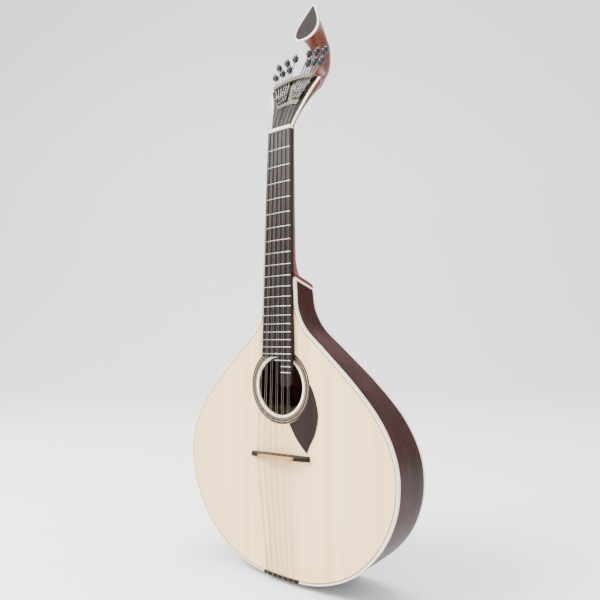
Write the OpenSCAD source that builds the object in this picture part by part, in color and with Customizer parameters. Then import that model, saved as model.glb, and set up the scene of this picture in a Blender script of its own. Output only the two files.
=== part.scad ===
// Twelve-string pear-bodied guitar with a fan-shaped screw tuner and a teardrop finial.
// Millimetres. +Z runs up the neck, -Y is the playing side, +X is the treble side.
// The origin is inside the neck at the nut, where the prongs of a hanger hold it.

/* [Scale and neck] */
// String length that sets the fret places
scale_length = 470; // [450:1:480]
// Number of frets on the treble side
fret_count = 22; // [19:1:22]
// Last fret that runs the full width of the board
full_fret_count = 19; // [17:1:19]
// Half width of the fretboard at the nut
board_half_nut = 20.8; // [20.5:0.1:21.5]
// Half width of the fretboard where it meets the soundhole
board_half_end = 27; // [26.5:0.1:27.5]
// Radius of the arched playing surface
board_radius = 300; // [200:10:400]
// Height of a fret crown above the board
fret_height = 0.9; // [0.7:0.05:1.1]
// Angle between the neck and the soundboard, degrees
neck_angle = 1.85; // [1.7:0.05:2]
// Distance from the soundboard's face back to the neck's middle at the nut
neck_middle = 15; // [14:0.5:16]

/* [Body] */
// Thickness of the soundboard
top_t = 2.8; // [2.4:0.1:3.2]
// Thickness of the back plate
back_t = 2.5; // [2.2:0.1:3]
// Thickness of the sides, and width of the binding
side_t = 2.4; // [2:0.1:2.6]
// Depth of the body, front face to back face, carried up to the nut's level
back_depth_nut = 21.2; // [18:0.2:24]
// How much deeper the body gets per millimetre towards the tail
back_slope = 0.1088; // [0.09:0.002:0.12]
// Height of the soundhole's centre
hole_z = -357.5; // [-360:0.5:-355]
// Radius of the soundhole
hole_r = 39.5; // [38:0.5:40.5]
// Outer radius of the rosette
rosette_r = 51.5; // [50:0.5:53]

/* [Bridge and strings] */
// Height of the bridge along the neck's direction
bridge_z = -452.5; // [-455:0.5:-450]
// String height above the soundboard at the bridge
bridge_h = 15.5; // [15:0.1:16.5]
// Distance between course centres at the nut
course_gap_nut = 7; // [6.8:0.1:7.1]
// Distance between course centres at the bridge
course_gap_bridge = 10.6; // [10:0.1:10.8]
// Distance between course centres at the tail
course_gap_tail = 9; // [8:0.1:9.5]
// Radius of the string wire
wire_r = 0.3; // [0.25:0.01:0.35]

/* [Head and tuner] */
// Lean of the head behind the soundboard's plane, degrees
head_angle = 24.2; // [23.5:0.1:25]
// Radius of the fan-shaped top of the head, about the nut
fan_r = 97; // [96:0.5:98]
// Angle from the middle of the fan to the first tuning screw
fan_first = 5.35; // [5.2:0.05:5.6]
// Angle between neighbouring tuning screws
fan_step = 3.12; // [3.05:0.01:3.2]
// Radius of the tuning screw's rod
rod_r = 1.1; // [1:0.05:1.15]
// Radial play of the rod in its bores
rod_play = 0.05; // [0.02:0.01:0.08]
// Radius of a knob
knob_r = 4.7; // [4.4:0.1:4.8]
// Distance from the nut to the middle of the knobs on short screws
short_reach = 122.5; // [120:0.5:124]
// Distance from the nut to the middle of the knobs on long screws
long_reach = 142.2; // [140:0.5:145]
// Distance from the nut to the hooks on short screws
hook_low = 64; // [63:0.5:65]
// Distance from the nut to the hooks on long screws
hook_high = 68; // [67:0.5:69]

/* [Hidden] */
$fn = 64;
far = 400;
eps = 0.01;
curve_steps = 6;
neck_steps = 2;

// Playing surface: y of the board at the nut and its rise along the neck
crown_y = 1.8;
board_y = crown_y + fret_height;
board_slope = tan(neck_angle);
board_t = 6;
board_end_z = -317.5;
tongue_x = [8, board_half_end - 0.6];
fret_inset = 1;
fret_w = 2.2;
tongue_fret_x = [-3, tongue_x[0], tongue_x[0]];
tongue_end_z = -356.5;
tongue_gap = 3;
nut_len = 4.5;
nut_half = board_half_nut + 0.3;
nut_top_y = crown_y - 1;

// Joint between the heel and the body
joint_angle = -17.9;
joint_y = 0.4;
joint_z = -212;
heel_len = 49;
strip_t = 3.2;

// Half outline of the body, shoulder to tail, as [x, z]
HALF_BODY = [
    [27, -200], [28, -228], [30.5, -254], [44, -280], [73.5, -307.5], [120, -351], [155.5, -392.5],
    [174.3, -432], [178.8, -469], [171.5, -509], [150, -549.5], [112, -586.5], [60, -609]
];
TAIL_POINT = [0, -614.6];

// Stations of the neck, from the heel to the finial:
// [front y, front z, back y, back z, half width, section], where the section
// runs from -1, square behind, through 0, flat in front, and 1, oval, to 2, teardrop
HEEL_STATIONS = [
    [1.38, -208.95, 48, -224, 27.6, -1],
    [1.6, -203.9, 47.9, -218.9, 27.5, -1],
    [1.7, -203.2, 43, -216.2, 26, -0.3],
    [2, -200.5, 36, -210, 24.6, 0],
    [2.2, -195, 28, -199, 24.3, 0],
    [2.4, -187, 23, -188, 24.2, 0]
];
NECK_STATIONS = [
    [2.6, -172, 21.6, -172, 23.9, 0],
    [4, -120, 21.4, -120, 22.9, 0],
    [6, -70, 21.4, -70, 21.9, 0],
    [8.4, -12, 21.6, -12, 20.8, 0],
    [8.85, 0.5, 21.6, 0.5, 20.8, 0]
];
STEM_STATIONS = [
    [64, 94, 110.4, 115, 22, 0.6],
    [76, 105, 118, 126, 17, 1],
    [86, 123, 123.6, 138, 14.2, 1],
    [90, 142, 125, 149, 13.5, 1],
    [88.5, 154, 123.3, 165, 13.6, 1],
    [82, 160.5, 112, 182, 15.5, 1.2],
    [74, 162.5, 104, 202, 18, 1.7],
    [67, 160.5, 96, 216, 20.4, 2]
];
// Along the head's face: [distance from the nut, thickness, back's shift up the face, half width]
HEAD_STATIONS = [
    [6.2, 9.4, 0, 21.6], [25, 9.7, 0, 24.8], [45, 12.5, 0, 30.3], [65, 17.3, 0, 37.2],
    [79, 22.2, 2, 43], [86, 25, 7, 44], [92, 31.8, 15, 38], [95.5, 43.9, 24, 28]
];
veneer_t = 2;
head_y = 4.2;
head_edge = 3.2;
head_top_half = 46;
head_top_angle = asin(head_top_half / fan_r);

// Teardrop face of the finial: its lower lip and its tip as [y, z]
FIN_LIP = [61.5, 157];
FIN_TIP = [89.4, 226.3];
fin_half = 21.8;
fin_face_t = 2.4;
fin_edge = 2.4;
fin_len = norm(FIN_TIP - FIN_LIP);
fin_angle = atan2(FIN_TIP[0] - FIN_LIP[0], FIN_TIP[1] - FIN_LIP[1]);

// Fan tuner, measured out from the head's face
plate_t = 1.2;
plate_in = 47;
fan_half = 22.6;
bar_in = 89.5;
bar_h = 6.6;
rod_out = 3.2;
rod_end = 56;
hook_w = 2.9;
hook_len = 5;
hook_base = 1.4;
hook_top = 5.4;
// Screws of the plate, as [angle from the middle, distance from the nut]
MOUNT_SPOTS = [[0, 60], [0, 84], [-19.5, 51], [19.5, 51]];

// Rim details
binding_d = 5;
purfling_w = 1.4;
inlay_t = 1;
lining_w = 6;
lining_d = 11;
back_angle = atan(back_slope);
// Where the joint meets the back, along the back: the strip doesn't reach below it
joint_foot_z = (joint_z + tan(joint_angle) * (back_depth_nut - joint_y))
    / (1 + tan(joint_angle) * back_slope) / cos(back_angle);
block_z = -262;
tail_block = [40, -588];

// Soundhole and bridge
ring_r = hole_r + 3.6;
bridge_x = [-50.5, 50.5];
bone_x = [-29.5, 29.5];
bridge_mid = 0;
bridge_tilt = -2.2;
bone_foot = 8.5;
bone_half = 2.4;

// Tail
saddle_half = 29.6;
saddle_t = 1.6;
saddle_w = 4.2;
pin_y = 17;
pin_out = 4.2;
tail_z = -614.6;

// Leaf beside the soundhole: outer edge from its top to its lower tip, then back up
LEAF_OUT = [[42, -341], [56, -360], [64.5, -390], [60, -415], [51, -432], [45.5, -443]];
LEAF_IN = [[45.5, -443], [36.5, -434.5], [27, -423.5], [17.5, -408], [12, -396]];

// ---------- curves ----------

// Catmull-Rom curve between b and c, with a before and d after
function span_point(a, b, c, d, t) =
    (2 * b + (c - a) * t + (2 * a - 5 * b + 4 * c - d) * t * t + (3 * b - a - 3 * c + d) * t * t * t) / 2;

// Points of a smooth curve through every point of p
function smooth(p, steps) = concat(
    [for (i = [0 : len(p) - 2], j = [0 : steps - 1])
        span_point(
            i > 0 ? p[i - 1] : 2 * p[0] - p[1], p[i], p[i + 1],
            i < len(p) - 2 ? p[i + 2] : 2 * p[i + 1] - p[i], j / steps)],
    [p[len(p) - 1]]);

function reversed(p) = [for (i = [len(p) - 1 : -1 : 0]) p[i]];
function mirrored(p) = [for (q = reversed(p)) [-q[0], q[1]]];

// The same open curve, moved by d to the right of its direction
function moved_in(p, d) = [
    for (i = [0 : len(p) - 1])
        let (t = p[min(i + 1, len(p) - 1)] - p[max(i - 1, 0)])
            p[i] + d * [t[1], -t[0]] / norm(t)
];

BODY = smooth(concat(HALF_BODY, [TAIL_POINT], mirrored(HALF_BODY)), curve_steps);

// Half of a section with n steps, front middle to back middle, as [x, depth] from 0 to 1
half_n = 12;
flat_n = 3;
function flat_front(i, power) =
    i <= flat_n ? [i / flat_n, 0]
    : let (a = 90 * (i - flat_n) / (half_n - flat_n)) [pow(cos(a), power), pow(sin(a), power)];
function oval(i) = let (a = 180 * i / half_n) [sin(a), (1 - cos(a)) / 2];
function tear(i) = let (q = oval(i)) [q[0] * (1.46 - 1.2 * q[1]), q[1]];
function blend(i, m) =
    m <= 0 ? flat_front(i, 1 + 0.75 * m)
    : m <= 1 ? (1 - m) * flat_front(i, 1) + m * oval(i)
    : (2 - min(m, 2)) * oval(i) + (min(m, 2) - 1) * tear(i);
function section(m) = concat(
    [for (i = [0 : half_n]) blend(i, m)],
    [for (i = [half_n - 1 : -1 : 1]) let (q = blend(i, m)) [-q[0], q[1]]]);

// ---------- frames ----------

// The design is drawn with the soundboard's face at y = 0; the origin sits in the neck
module placed() {
    translate([0, -neck_middle, 0]) children();
}

// A flat outline in X and Z, made solid from y0 to y1
module layer(y0, y1) {
    translate([0, y1, 0]) rotate([90, 0, 0]) linear_extrude(y1 - y0) children();
}

// Frame of the back plate: y = 0 is its outer face
module back_frame() {
    translate([0, back_depth_nut, 0]) rotate([back_angle, 0, 0]) children();
}

// Frame of the joint between heel and body: z = 0 is the joint, +Z towards the heel
module joint_frame() {
    translate([0, joint_y, joint_z]) rotate([joint_angle, 0, 0]) children();
}

// Frame of the head: y = 0 is its face, -Y in front of it, +Z up the face from the nut
module head_frame() {
    translate([0, head_y, 0]) rotate([-head_angle, 0, 0]) children();
}

module finial_frame() {
    translate([0, FIN_LIP[0], FIN_LIP[1]]) rotate([-fin_angle, 0, 0]) children();
}

// Frame of the playing surface: y = 0 at the board's crest, +Z towards the nut
module board_frame() {
    translate([0, board_y, 0]) rotate([-neck_angle, 0, 0]) children();
}

// Frame of a tuning screw: +Z along its rod, away from the nut
module screw_frame(k) {
    head_frame() rotate([0, fan_angle(k), 0]) translate([0, -rod_out, 0]) children();
}

// Tuning screws are numbered 1 to 12 from the bass side
function fan_angle(k) = k <= 6 ? -(fan_first + (6 - k) * fan_step) : fan_first + (k - 7) * fan_step;
function is_long(k) = k <= 6 ? (6 - k) % 2 == 0 : (k - 7) % 2 == 0;
function reach(k) = is_long(k) ? long_reach : short_reach;
function hook_at(k) = is_long(k) ? hook_high : hook_low;

module box(low, high) {
    translate(low) cube(high - low);
}

// Keeps what lies below the joint with the heel
module below_joint() {
    intersection() {
        children();
        joint_frame() box([-far, -far, -2 * far], [far, far, 0]);
    }
}

// Ring of the body's outline between two distances in from its edge
module rim(outer, inner) {
    difference() {
        polygon(moved_in(BODY, outer));
        polygon(moved_in(BODY, inner));
    }
}

// ---------- body ----------

module soundboard() color("wheat") placed() below_joint() difference() {
    layer(0, top_t) polygon(moved_in(BODY, side_t));
    layer(-1, inlay_t) rim(side_t, side_t + purfling_w);
    layer(-1, top_t + 1) translate([0, hole_z]) circle(hole_r);
    layer(-1, inlay_t) translate([0, hole_z]) circle(rosette_r);
}

module back_plate() color([0.3, 0.15, 0.12]) placed() below_joint() intersection() {
    layer(0, 120) polygon(moved_in(BODY, side_t));
    back_frame() box([-far, -back_t, -2 * far], [far, 0, 0]);
}

module side_shell() {
    below_joint() difference() {
        intersection() {
            layer(binding_d, 120) rim(0, side_t);
            back_frame() box([-far, -far, -2 * far], [far, -binding_d, 0]);
        }
        graft_box();
    }
}

module graft_box() {
    box([-5, -1, -630], [5, 120, -600]);
}

module side_bass() color([0.27, 0.15, 0.14]) placed() intersection() {
    side_shell();
    box([-far, -1, -2 * far], [0, 120, 0]);
}

module side_treble() color([0.27, 0.15, 0.14]) placed() intersection() {
    side_shell();
    box([0, -1, -2 * far], [far, 120, 0]);
}

module end_graft() color("tan") placed() intersection() {
    layer(binding_d, 120) rim(0, side_t);
    back_frame() box([-far, -far, -2 * far], [far, -binding_d, 0]);
    graft_box();
}

// Inside of the body between the plates, in from its sides
module inside() {
    intersection() {
        layer(top_t, 120) polygon(moved_in(BODY, side_t));
        back_frame() box([-far, -far, -2 * far], [far, -back_t, 0]);
    }
}

module neck_block() color("peru") placed() below_joint() intersection() {
    inside();
    box([-far, 0, block_z], [far, 120, 0]);
}

module tail_block_box() {
    box([-tail_block[0], 0, -2 * far], [tail_block[0], 120, tail_block[1]]);
}

module tail_block_wood() color("peru") placed() intersection() {
    inside();
    tail_block_box();
}

module lining_ring() {
    difference() {
        intersection() {
            inside();
            layer(0, 120) rim(side_t, side_t + lining_w);
            box([-far, 0, -2 * far], [far, 120, block_z]);
        }
        tail_block_box();
    }
}

module top_lining() color("burlywood") placed() intersection() {
    lining_ring();
    box([-far, 0, -2 * far], [far, top_t + lining_d, 0]);
}

module back_lining() color("burlywood") placed() intersection() {
    lining_ring();
    back_frame() box([-far, -back_t - lining_d, -2 * far], [far, 0, 0]);
}

module top_braces() color("wheat") placed() intersection() {
    layer(top_t, 120) polygon(moved_in(BODY, side_t + lining_w));
    for (z = [-298, -408, -506])
        box([-far, 0, z - 4], [far, top_t + 13, z + 4]);
}

module back_braces() color("wheat") placed() intersection() {
    layer(top_t, 120) polygon(moved_in(BODY, side_t + lining_w));
    back_frame() for (z = [-300, -400, -500])
        box([-far, -back_t - 14, z - 5], [far, -back_t, z + 5]);
}

module top_binding() color("ivory") placed() below_joint() layer(0, binding_d) rim(0, side_t);

module top_purfling() color([0.2, 0.15, 0.12]) placed() below_joint()
    layer(0, inlay_t) rim(side_t, side_t + purfling_w);

module back_binding() color("ivory") placed() below_joint() intersection() {
    layer(0, 120) rim(0, side_t);
    back_frame() box([-far, -binding_d, -2 * far], [far, 0, 0]);
}

module ring_inlay(outer, inner) {
    layer(0, inlay_t) translate([0, hole_z]) difference() {
        circle(outer);
        circle(inner);
    }
}

module rosette() color([0.2, 0.13, 0.1]) placed() ring_inlay(rosette_r, ring_r);

module soundhole_ring() color("ivory") placed() ring_inlay(ring_r, hole_r);

module pickguard() color([0.25, 0.19, 0.17]) placed() layer(-1, 0) difference() {
    polygon(concat(smooth(LEAF_OUT, curve_steps), smooth(LEAF_IN, curve_steps)));
    translate([0, hole_z]) circle(rosette_r + 0.4);
}

// ---------- bridge and tail ----------

// Frame of the bridge: z = 0 is its centre plane, -Y away from the soundboard
module bridge_frame() {
    translate([bridge_mid, 0, bridge_z]) rotate([0, bridge_tilt, 0]) translate([-bridge_mid, 0, 0])
        children();
}

module bridge_base() color([0.13, 0.1, 0.09]) placed() bridge_frame() intersection() {
    rotate([90, 0, 90]) translate([0, 0, bridge_x[0]])
        linear_extrude(bridge_x[1] - bridge_x[0])
            polygon([[0, -3.8], [-9.5, -2.6], [-9.5, 2.6], [0, 3.8]]);
    translate([0, 0, -5]) linear_extrude(10) polygon([
        [bridge_x[0], 0], [bridge_x[0], -4.5], [-40, -7], [bone_x[0], -bone_foot],
        [bone_x[1], -bone_foot], [40, -7], [bridge_x[1], -4.5], [bridge_x[1], 0]
    ]);
}

module bridge_bone() color([0.87, 0.75, 0.5]) placed() bridge_frame()
    translate([0, 0, -bone_half]) linear_extrude(2 * bone_half) polygon([
        [bone_x[0], -bone_foot], [bone_x[0], -bridge_h + 1.2], [-28.6, -bridge_h + wire_r + 0.05],
        [28.6, -bridge_h + wire_r + 0.05], [bone_x[1], -bridge_h + 1.2], [bone_x[1], -bone_foot]
    ]);

module tail_saddle() color([0.13, 0.1, 0.09]) placed() intersection() {
    layer(-saddle_t, 0) rim(0.2, saddle_w);
    box([-saddle_half, -5, -2 * far], [saddle_half, 5, -590]);
}

// Tailpiece: a plate let against the tail with a row of pins for the strings' loops
module tailpiece() color("silver") placed() {
    box([-32, 9, tail_z - 1.9], [32, 31, tail_z - 0.7]);
    for (i = [0 : 11])
        translate([string_x(i, course_gap_tail, 1.5, 0), pin_y, tail_z - 1.9 - pin_out])
            cylinder(h = pin_out, r = 1, $fn = 24);
    difference() {
        for (x = [-27, 0, 27])
            translate([x, 25, tail_z - 0.7]) cylinder(h = 2.5, r = 2.6, $fn = 32);
        layer(0, 60) polygon(moved_in(BODY, -0.01));
    }
}

module tailpiece_screws() color("gray") placed()
    for (x = [-27, 0, 27])
        translate([x, 25, tail_z - 3]) cylinder(h = 1.1, r = 2.4, $fn = 32);

// ---------- neck ----------

// Straight lines between the points of p, cut into steps
function straight(p, steps) = concat(
    [for (i = [0 : len(p) - 2], j = [0 : steps - 1]) p[i] + (p[i + 1] - p[i]) * j / steps],
    [p[len(p) - 1]]);

// Neck, head and finial in one piece. Its front runs straight between the stations
// as far as the top of the head, where the board, the nut and the veneer lie on it
module neck_shape() {
    s = sin(head_angle);
    c = cos(head_angle);
    head = [
        for (q = HEAD_STATIONS)
            [
                head_y + q[0] * s + veneer_t * c, q[0] * c - veneer_t * s,
                head_y + (q[0] + q[2]) * s + (veneer_t + q[1]) * c,
                (q[0] + q[2]) * c - (veneer_t + q[1]) * s, q[3], 0
            ]
    ];
    back = fin_face_t * [cos(fin_angle), -sin(fin_angle)];
    face = [concat(FIN_LIP + back, FIN_TIP + back, [fin_half, 2])];
    lower = concat(HEEL_STATIONS, NECK_STATIONS, head);
    whole = concat(lower, STEM_STATIONS, face);
    curved = smooth(whole, neck_steps);
    flat = straight(whole, neck_steps);
    flat_count = neck_steps * (len(lower) - 1);
    stations = [
        for (i = [0 : len(curved) - 1])
            let (front = i <= flat_count ? flat[i] : curved[i])
                [front[0], front[1], curved[i][2], curved[i][3], curved[i][4], curved[i][5]]
    ];
    ring_n = 2 * half_n;
    points = [
        for (q = stations, e = section(q[5]))
            [q[4] * e[0], q[0] + (q[2] - q[0]) * e[1], q[1] + (q[3] - q[1]) * e[1]]
    ];
    last = len(stations) - 1;
    sides = [
        for (i = [0 : last - 1], j = [0 : ring_n - 1])
            let (k = (j + 1) % ring_n)
                [i * ring_n + j, i * ring_n + k, (i + 1) * ring_n + k, (i + 1) * ring_n + j]
    ];
    // Each end is a fan of triangles about the middle of its back
    bottom = [
        for (j = [1 : ring_n - 2])
            [half_n, (half_n + j + 1) % ring_n, (half_n + j) % ring_n]
    ];
    top = [for (t = bottom) last * ring_n * [1, 1, 1] + [t[0], t[2], t[1]]];
    polyhedron(points, concat(sides, bottom, top));
}

module neck() color([0.55, 0.3, 0.22]) placed() neck_shape();

module heel_strip() color("ivory") placed() difference() {
    joint_frame() linear_extrude(strip_t)
        polygon([for (e = section(-1)) [27.5 * e[0], heel_len * e[1] + 0.3]]);
    back_frame() box([-far, 0, -2 * far], [far, far, joint_foot_z]);
}

// Side view of the board from the crest down to the neck and the soundboard
module board_side() {
    z_joint = joint_z;
    layer_x = 2 * board_half_end;
    rotate([90, 0, 90]) translate([0, 0, -layer_x / 2]) linear_extrude(layer_x) polygon([
        [board_y - 3, 0], [board_y + board_t, 0], [0, z_joint], [0, board_end_z],
        [-tongue_gap, board_end_z], [-tongue_gap, tongue_end_z],
        [board_y + board_slope * tongue_end_z - 3, tongue_end_z]
    ]);
}

// Outline of the board from in front, with the long tongue on the treble side
module board_front(edge) {
    difference() {
        polygon([
            [-board_half_nut + edge, 0], [board_half_nut - edge, 0],
            [board_half_end - edge, board_end_z], [tongue_x[1] - edge, tongue_end_z + 4],
            [tongue_x[1] - 4, tongue_end_z + edge], [tongue_x[0] + 4, tongue_end_z + edge],
            [tongue_x[0] + edge, tongue_end_z + 4], [tongue_x[0] - 1, board_end_z],
            [-board_half_end + edge, board_end_z]
        ]);
        translate([0, hole_z]) intersection() {
            circle(hole_r + 0.5);
            translate([-60 + tongue_x[0] - 1, -60]) square([60, 120]);
        }
    }
}

module arch(height) {
    board_frame() translate([0, board_radius, -far])
        cylinder(h = far + 20, r = board_radius + height, $fn = 360);
}

module fretboard() color([0.2, 0.16, 0.16]) placed() intersection() {
    board_side();
    layer(-60, 60) board_front(0);
    arch(0);
}

function fret_z(n) = -scale_length * (1 - pow(2, -n / 12));

module frets() color("silver") placed() difference() {
    intersection() {
        layer(-60, 60) board_front(fret_inset);
        union() {
            for (n = [1 : full_fret_count])
                box([-60, -60, fret_z(n) - fret_w / 2], [60, 60, fret_z(n) + fret_w / 2]);
            for (n = [full_fret_count + 1 : fret_count])
                box(
                    [tongue_fret_x[n - full_fret_count - 1], -60, fret_z(n) - fret_w / 2],
                    [60, 60, fret_z(n) + fret_w / 2]);
        }
        arch(fret_height);
    }
    arch(0);
}

module nut() color("ivory") placed() intersection() {
    box([-nut_half, nut_top_y, 0], [nut_half, board_y + board_t - 0.1, nut_len]);
    translate([0, nut_top_y + board_radius, -5])
        cylinder(h = 20, r = board_radius, $fn = 360);
}

// ---------- head ----------

HEAD_EDGE = smooth(
    [
        [21.6, nut_len + 1.5], [24.5, 22], [30, 44], [37, 65], [43.4, 80],
        [head_top_half, fan_r * cos(head_top_angle)]
    ],
    curve_steps);

module head_sides(edge) {
    polygon(concat(
        [for (q = HEAD_EDGE) q - [edge, 0]], [[head_top_half - edge, 120], [edge - head_top_half, 120]],
        mirrored([for (q = HEAD_EDGE) q - [edge, 0]])));
}

module head_outline(edge) intersection() {
    head_sides(edge);
    circle(fan_r, $fn = 200);
}

module head_veneer() color([0.14, 0.11, 0.11]) placed() head_frame()
    layer(0, veneer_t) head_outline(head_edge);

module head_binding() color("ivory") placed() head_frame() layer(0, veneer_t) difference() {
    head_outline(0);
    head_sides(head_edge);
}

module tear_outline(half, length) {
    polygon([for (e = section(2)) [half * e[0], length * e[1]]]);
}

module finial_face() color([0.2, 0.14, 0.14]) placed() finial_frame() layer(0, fin_face_t)
    translate([0, fin_edge]) tear_outline(fin_half - fin_edge, fin_len - 2.6 * fin_edge);

module finial_binding() color("ivory") placed() finial_frame() layer(0, fin_face_t) difference() {
    tear_outline(fin_half, fin_len);
    translate([0, fin_edge]) tear_outline(fin_half - fin_edge, fin_len - 2.6 * fin_edge);
}

// ---------- fan tuner ----------

module fan_sector(inner, outer) {
    intersection() {
        difference() {
            circle(outer, $fn = 200);
            circle(inner, $fn = 200);
        }
        polygon([[0, 0], 200 * [sin(fan_half), cos(fan_half)], 200 * [-sin(fan_half), cos(fan_half)]]);
    }
}

module tuner_plate() color("silver") placed() head_frame() difference() {
    layer(-plate_t, 0) fan_sector(plate_in, fan_r);
    for (k = [1 : 12])
        rotate([0, fan_angle(k), 0]) box([-0.7, -plate_t - 1, 56], [0.7, 1, 82]);
}

module tuner_bar() color("gainsboro") placed() difference() {
    head_frame() layer(-bar_h, -plate_t) fan_sector(bar_in, fan_r);
    for (k = [1 : 12])
        screw_frame(k) translate([0, 0, 80]) cylinder(h = 30, r = rod_r + rod_play, $fn = 32);
}

module tuner_mount_screws() color("gray") placed() head_frame()
    for (q = MOUNT_SPOTS)
        rotate([0, q[0], 0]) translate([0, -plate_t, q[1]]) rotate([90, 0, 0])
            cylinder(h = 0.8, r = 1.7, $fn = 32);

// Rod, two thrust collars and a turned knob with a tip, all on one axis
module tuning_screw(k) color("dimgray") placed() screw_frame(k) {
    r = reach(k);
    translate([0, 0, rod_end]) cylinder(h = r - rod_end, r = rod_r, $fn = 32);
    translate([0, 0, bar_in - 1.5]) cylinder(h = 1.4, r = 2, $fn = 32);
    translate([0, 0, fan_r + 0.1]) cylinder(h = 1.6, r = 2, $fn = 32);
    translate([0, 0, r]) rotate_extrude($fn = 48) polygon([
        [0, -8.5], [2, -8.5], [2, -6], [2.8, -5.6], [3.9, -4.4], [knob_r, -2], [knob_r, 1.6],
        [4, 4], [2.8, 5.3], [1.4, 5.8], [1.1, 6.6], [1.7, 7.6], [1.5, 8.6], [0.8, 9.2], [0, 9.3]
    ]);
}

// Block that rides on the rod, with a pin in front for the string's loop
module string_hook(k) color("silver") placed() screw_frame(k) difference() {
    translate([0, 0, hook_at(k)]) {
        box(
            [-hook_w / 2, rod_out - hook_top, -hook_len / 2],
            [hook_w / 2, rod_out - hook_base, hook_len / 2]);
        translate([0, rod_out - hook_top + eps, 0]) rotate([90, 0, 0]) cylinder(h = 2.2, r = 0.8, $fn = 24);
        translate([0, rod_out - hook_top - 2.2 + 2 * eps, 0]) rotate([90, 0, 0])
            cylinder(h = 0.8, r = 1.2, $fn = 24);
    }
    translate([0, 0, 40]) cylinder(h = 60, r = rod_r + rod_play, $fn = 32);
}

// ---------- strings ----------

// Place of string i, 0 to 11 from the bass side, across a row of six pairs
function string_x(i, gap, pair, mid) = mid + (floor(i / 2) - 2.5) * gap + (i % 2 - 0.5) * pair;

function head_point(x, out, up) = [
    x, head_y + up * sin(head_angle) - out * cos(head_angle),
    up * cos(head_angle) + out * sin(head_angle)
];

function bridge_lift(x) = (x - bridge_mid) * tan(-bridge_tilt);

// Round wire along a route, as one closed tube with a ring at each of its points
module wire(route) {
    sides_n = 8;
    last = len(route) - 1;
    points = [
        for (i = [0 : last])
            let (
                t = route[min(i + 1, last)] - route[max(i - 1, 0)],
                across = cross(t, [1, 0, 0]) / norm(cross(t, [1, 0, 0])),
                over = cross(across, t) / norm(t)
            )
            for (j = [0 : sides_n - 1])
                route[i] + wire_r * (cos(360 * j / sides_n) * over + sin(360 * j / sides_n) * across)
    ];
    walls = [
        for (i = [0 : last - 1], j = [0 : sides_n - 1])
            let (k = (j + 1) % sides_n)
                [i * sides_n + j, (i + 1) * sides_n + j, (i + 1) * sides_n + k, i * sides_n + k]
    ];
    first = [[for (j = [0 : sides_n - 1]) j]];
    final = [[for (j = [sides_n - 1 : -1 : 0]) last * sides_n + j]];
    polyhedron(points, concat(walls, first, final));
}

function string_route(i) = let (
    x_nut = string_x(i, course_gap_nut, 2.2, 0),
    x_bridge = string_x(i, course_gap_bridge, 3.2, bridge_mid),
    x_tail = string_x(i, course_gap_tail, 1.5, 0),
    a = fan_angle(i + 1),
    tail_rise = x_tail * x_tail / 900,
    nut_y = nut_top_y + x_nut * x_nut / (2 * board_radius) - wire_r - 0.05
) [
    [x_tail, pin_y - 1.4, tail_z - 4],
    [x_tail, 1, tail_z - 0.55 + tail_rise],
    [x_tail, -saddle_t - 0.37, tail_z - 0.15 + tail_rise],
    [x_tail, -saddle_t - 0.4, tail_z + 1.5 + tail_rise],
    [x_bridge, -bridge_h, bridge_z - bone_half - 0.1 + bridge_lift(x_bridge)],
    [x_bridge, -bridge_h, bridge_z + bone_half + 0.1 + bridge_lift(x_bridge)],
    [x_nut, nut_y, -0.1],
    [x_nut, nut_y, nut_len + 0.1],
    head_point(53 * sin(a), 4.4, 53 * cos(a))
];

module strings() color("silver") placed()
    for (i = [0 : 11])
        wire(string_route(i));

// ---------- nodes ----------

soundboard();
back_plate();
side_bass();
side_treble();
end_graft();
neck_block();
tail_block_wood();
top_lining();
back_lining();
top_braces();
back_braces();
top_binding();
top_purfling();
back_binding();
rosette();
soundhole_ring();
pickguard();
bridge_base();
bridge_bone();
tail_saddle();
tailpiece();
tailpiece_screws();
neck();
heel_strip();
fretboard();
frets();
nut();
head_veneer();
head_binding();
finial_face();
finial_binding();
tuner_plate();
tuner_bar();
tuner_mount_screws();
strings();
for (k = [1 : 12]) {
    tuning_screw(k);
    string_hook(k);
}
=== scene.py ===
"""Looks of a twelve-string pear-bodied guitar with a fan tuner, laid out as an add-on and run as a script."""

import bpy
import numpy as np
from mathutils import Matrix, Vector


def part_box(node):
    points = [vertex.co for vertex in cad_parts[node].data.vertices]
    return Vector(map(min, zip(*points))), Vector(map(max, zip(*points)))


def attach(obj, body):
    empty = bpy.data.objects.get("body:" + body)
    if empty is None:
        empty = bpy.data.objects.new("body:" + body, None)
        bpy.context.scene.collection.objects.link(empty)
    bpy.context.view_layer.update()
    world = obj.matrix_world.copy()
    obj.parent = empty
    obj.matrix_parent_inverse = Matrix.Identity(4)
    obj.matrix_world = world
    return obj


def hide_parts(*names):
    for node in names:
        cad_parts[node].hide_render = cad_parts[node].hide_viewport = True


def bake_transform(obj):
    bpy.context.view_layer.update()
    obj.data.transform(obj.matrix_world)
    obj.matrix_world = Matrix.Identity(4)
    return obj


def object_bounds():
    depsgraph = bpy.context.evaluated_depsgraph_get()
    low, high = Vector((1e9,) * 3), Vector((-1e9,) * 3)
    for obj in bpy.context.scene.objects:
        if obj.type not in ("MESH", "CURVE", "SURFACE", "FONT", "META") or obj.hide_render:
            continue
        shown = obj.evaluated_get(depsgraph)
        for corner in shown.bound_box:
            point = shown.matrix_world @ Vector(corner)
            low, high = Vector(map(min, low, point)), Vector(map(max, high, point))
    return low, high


bl_info = {
    "name": "Twelve-string pear guitar",
    "version": (1, 0, 0),
    "blender": (4, 5, 0),
    "location": "View3D > Sidebar > Pear Guitar",
    "description": "Builds the detailed pieces and finishes of a twelve-string guitar with a fan tuner",
    "category": "Object",
}

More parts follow.
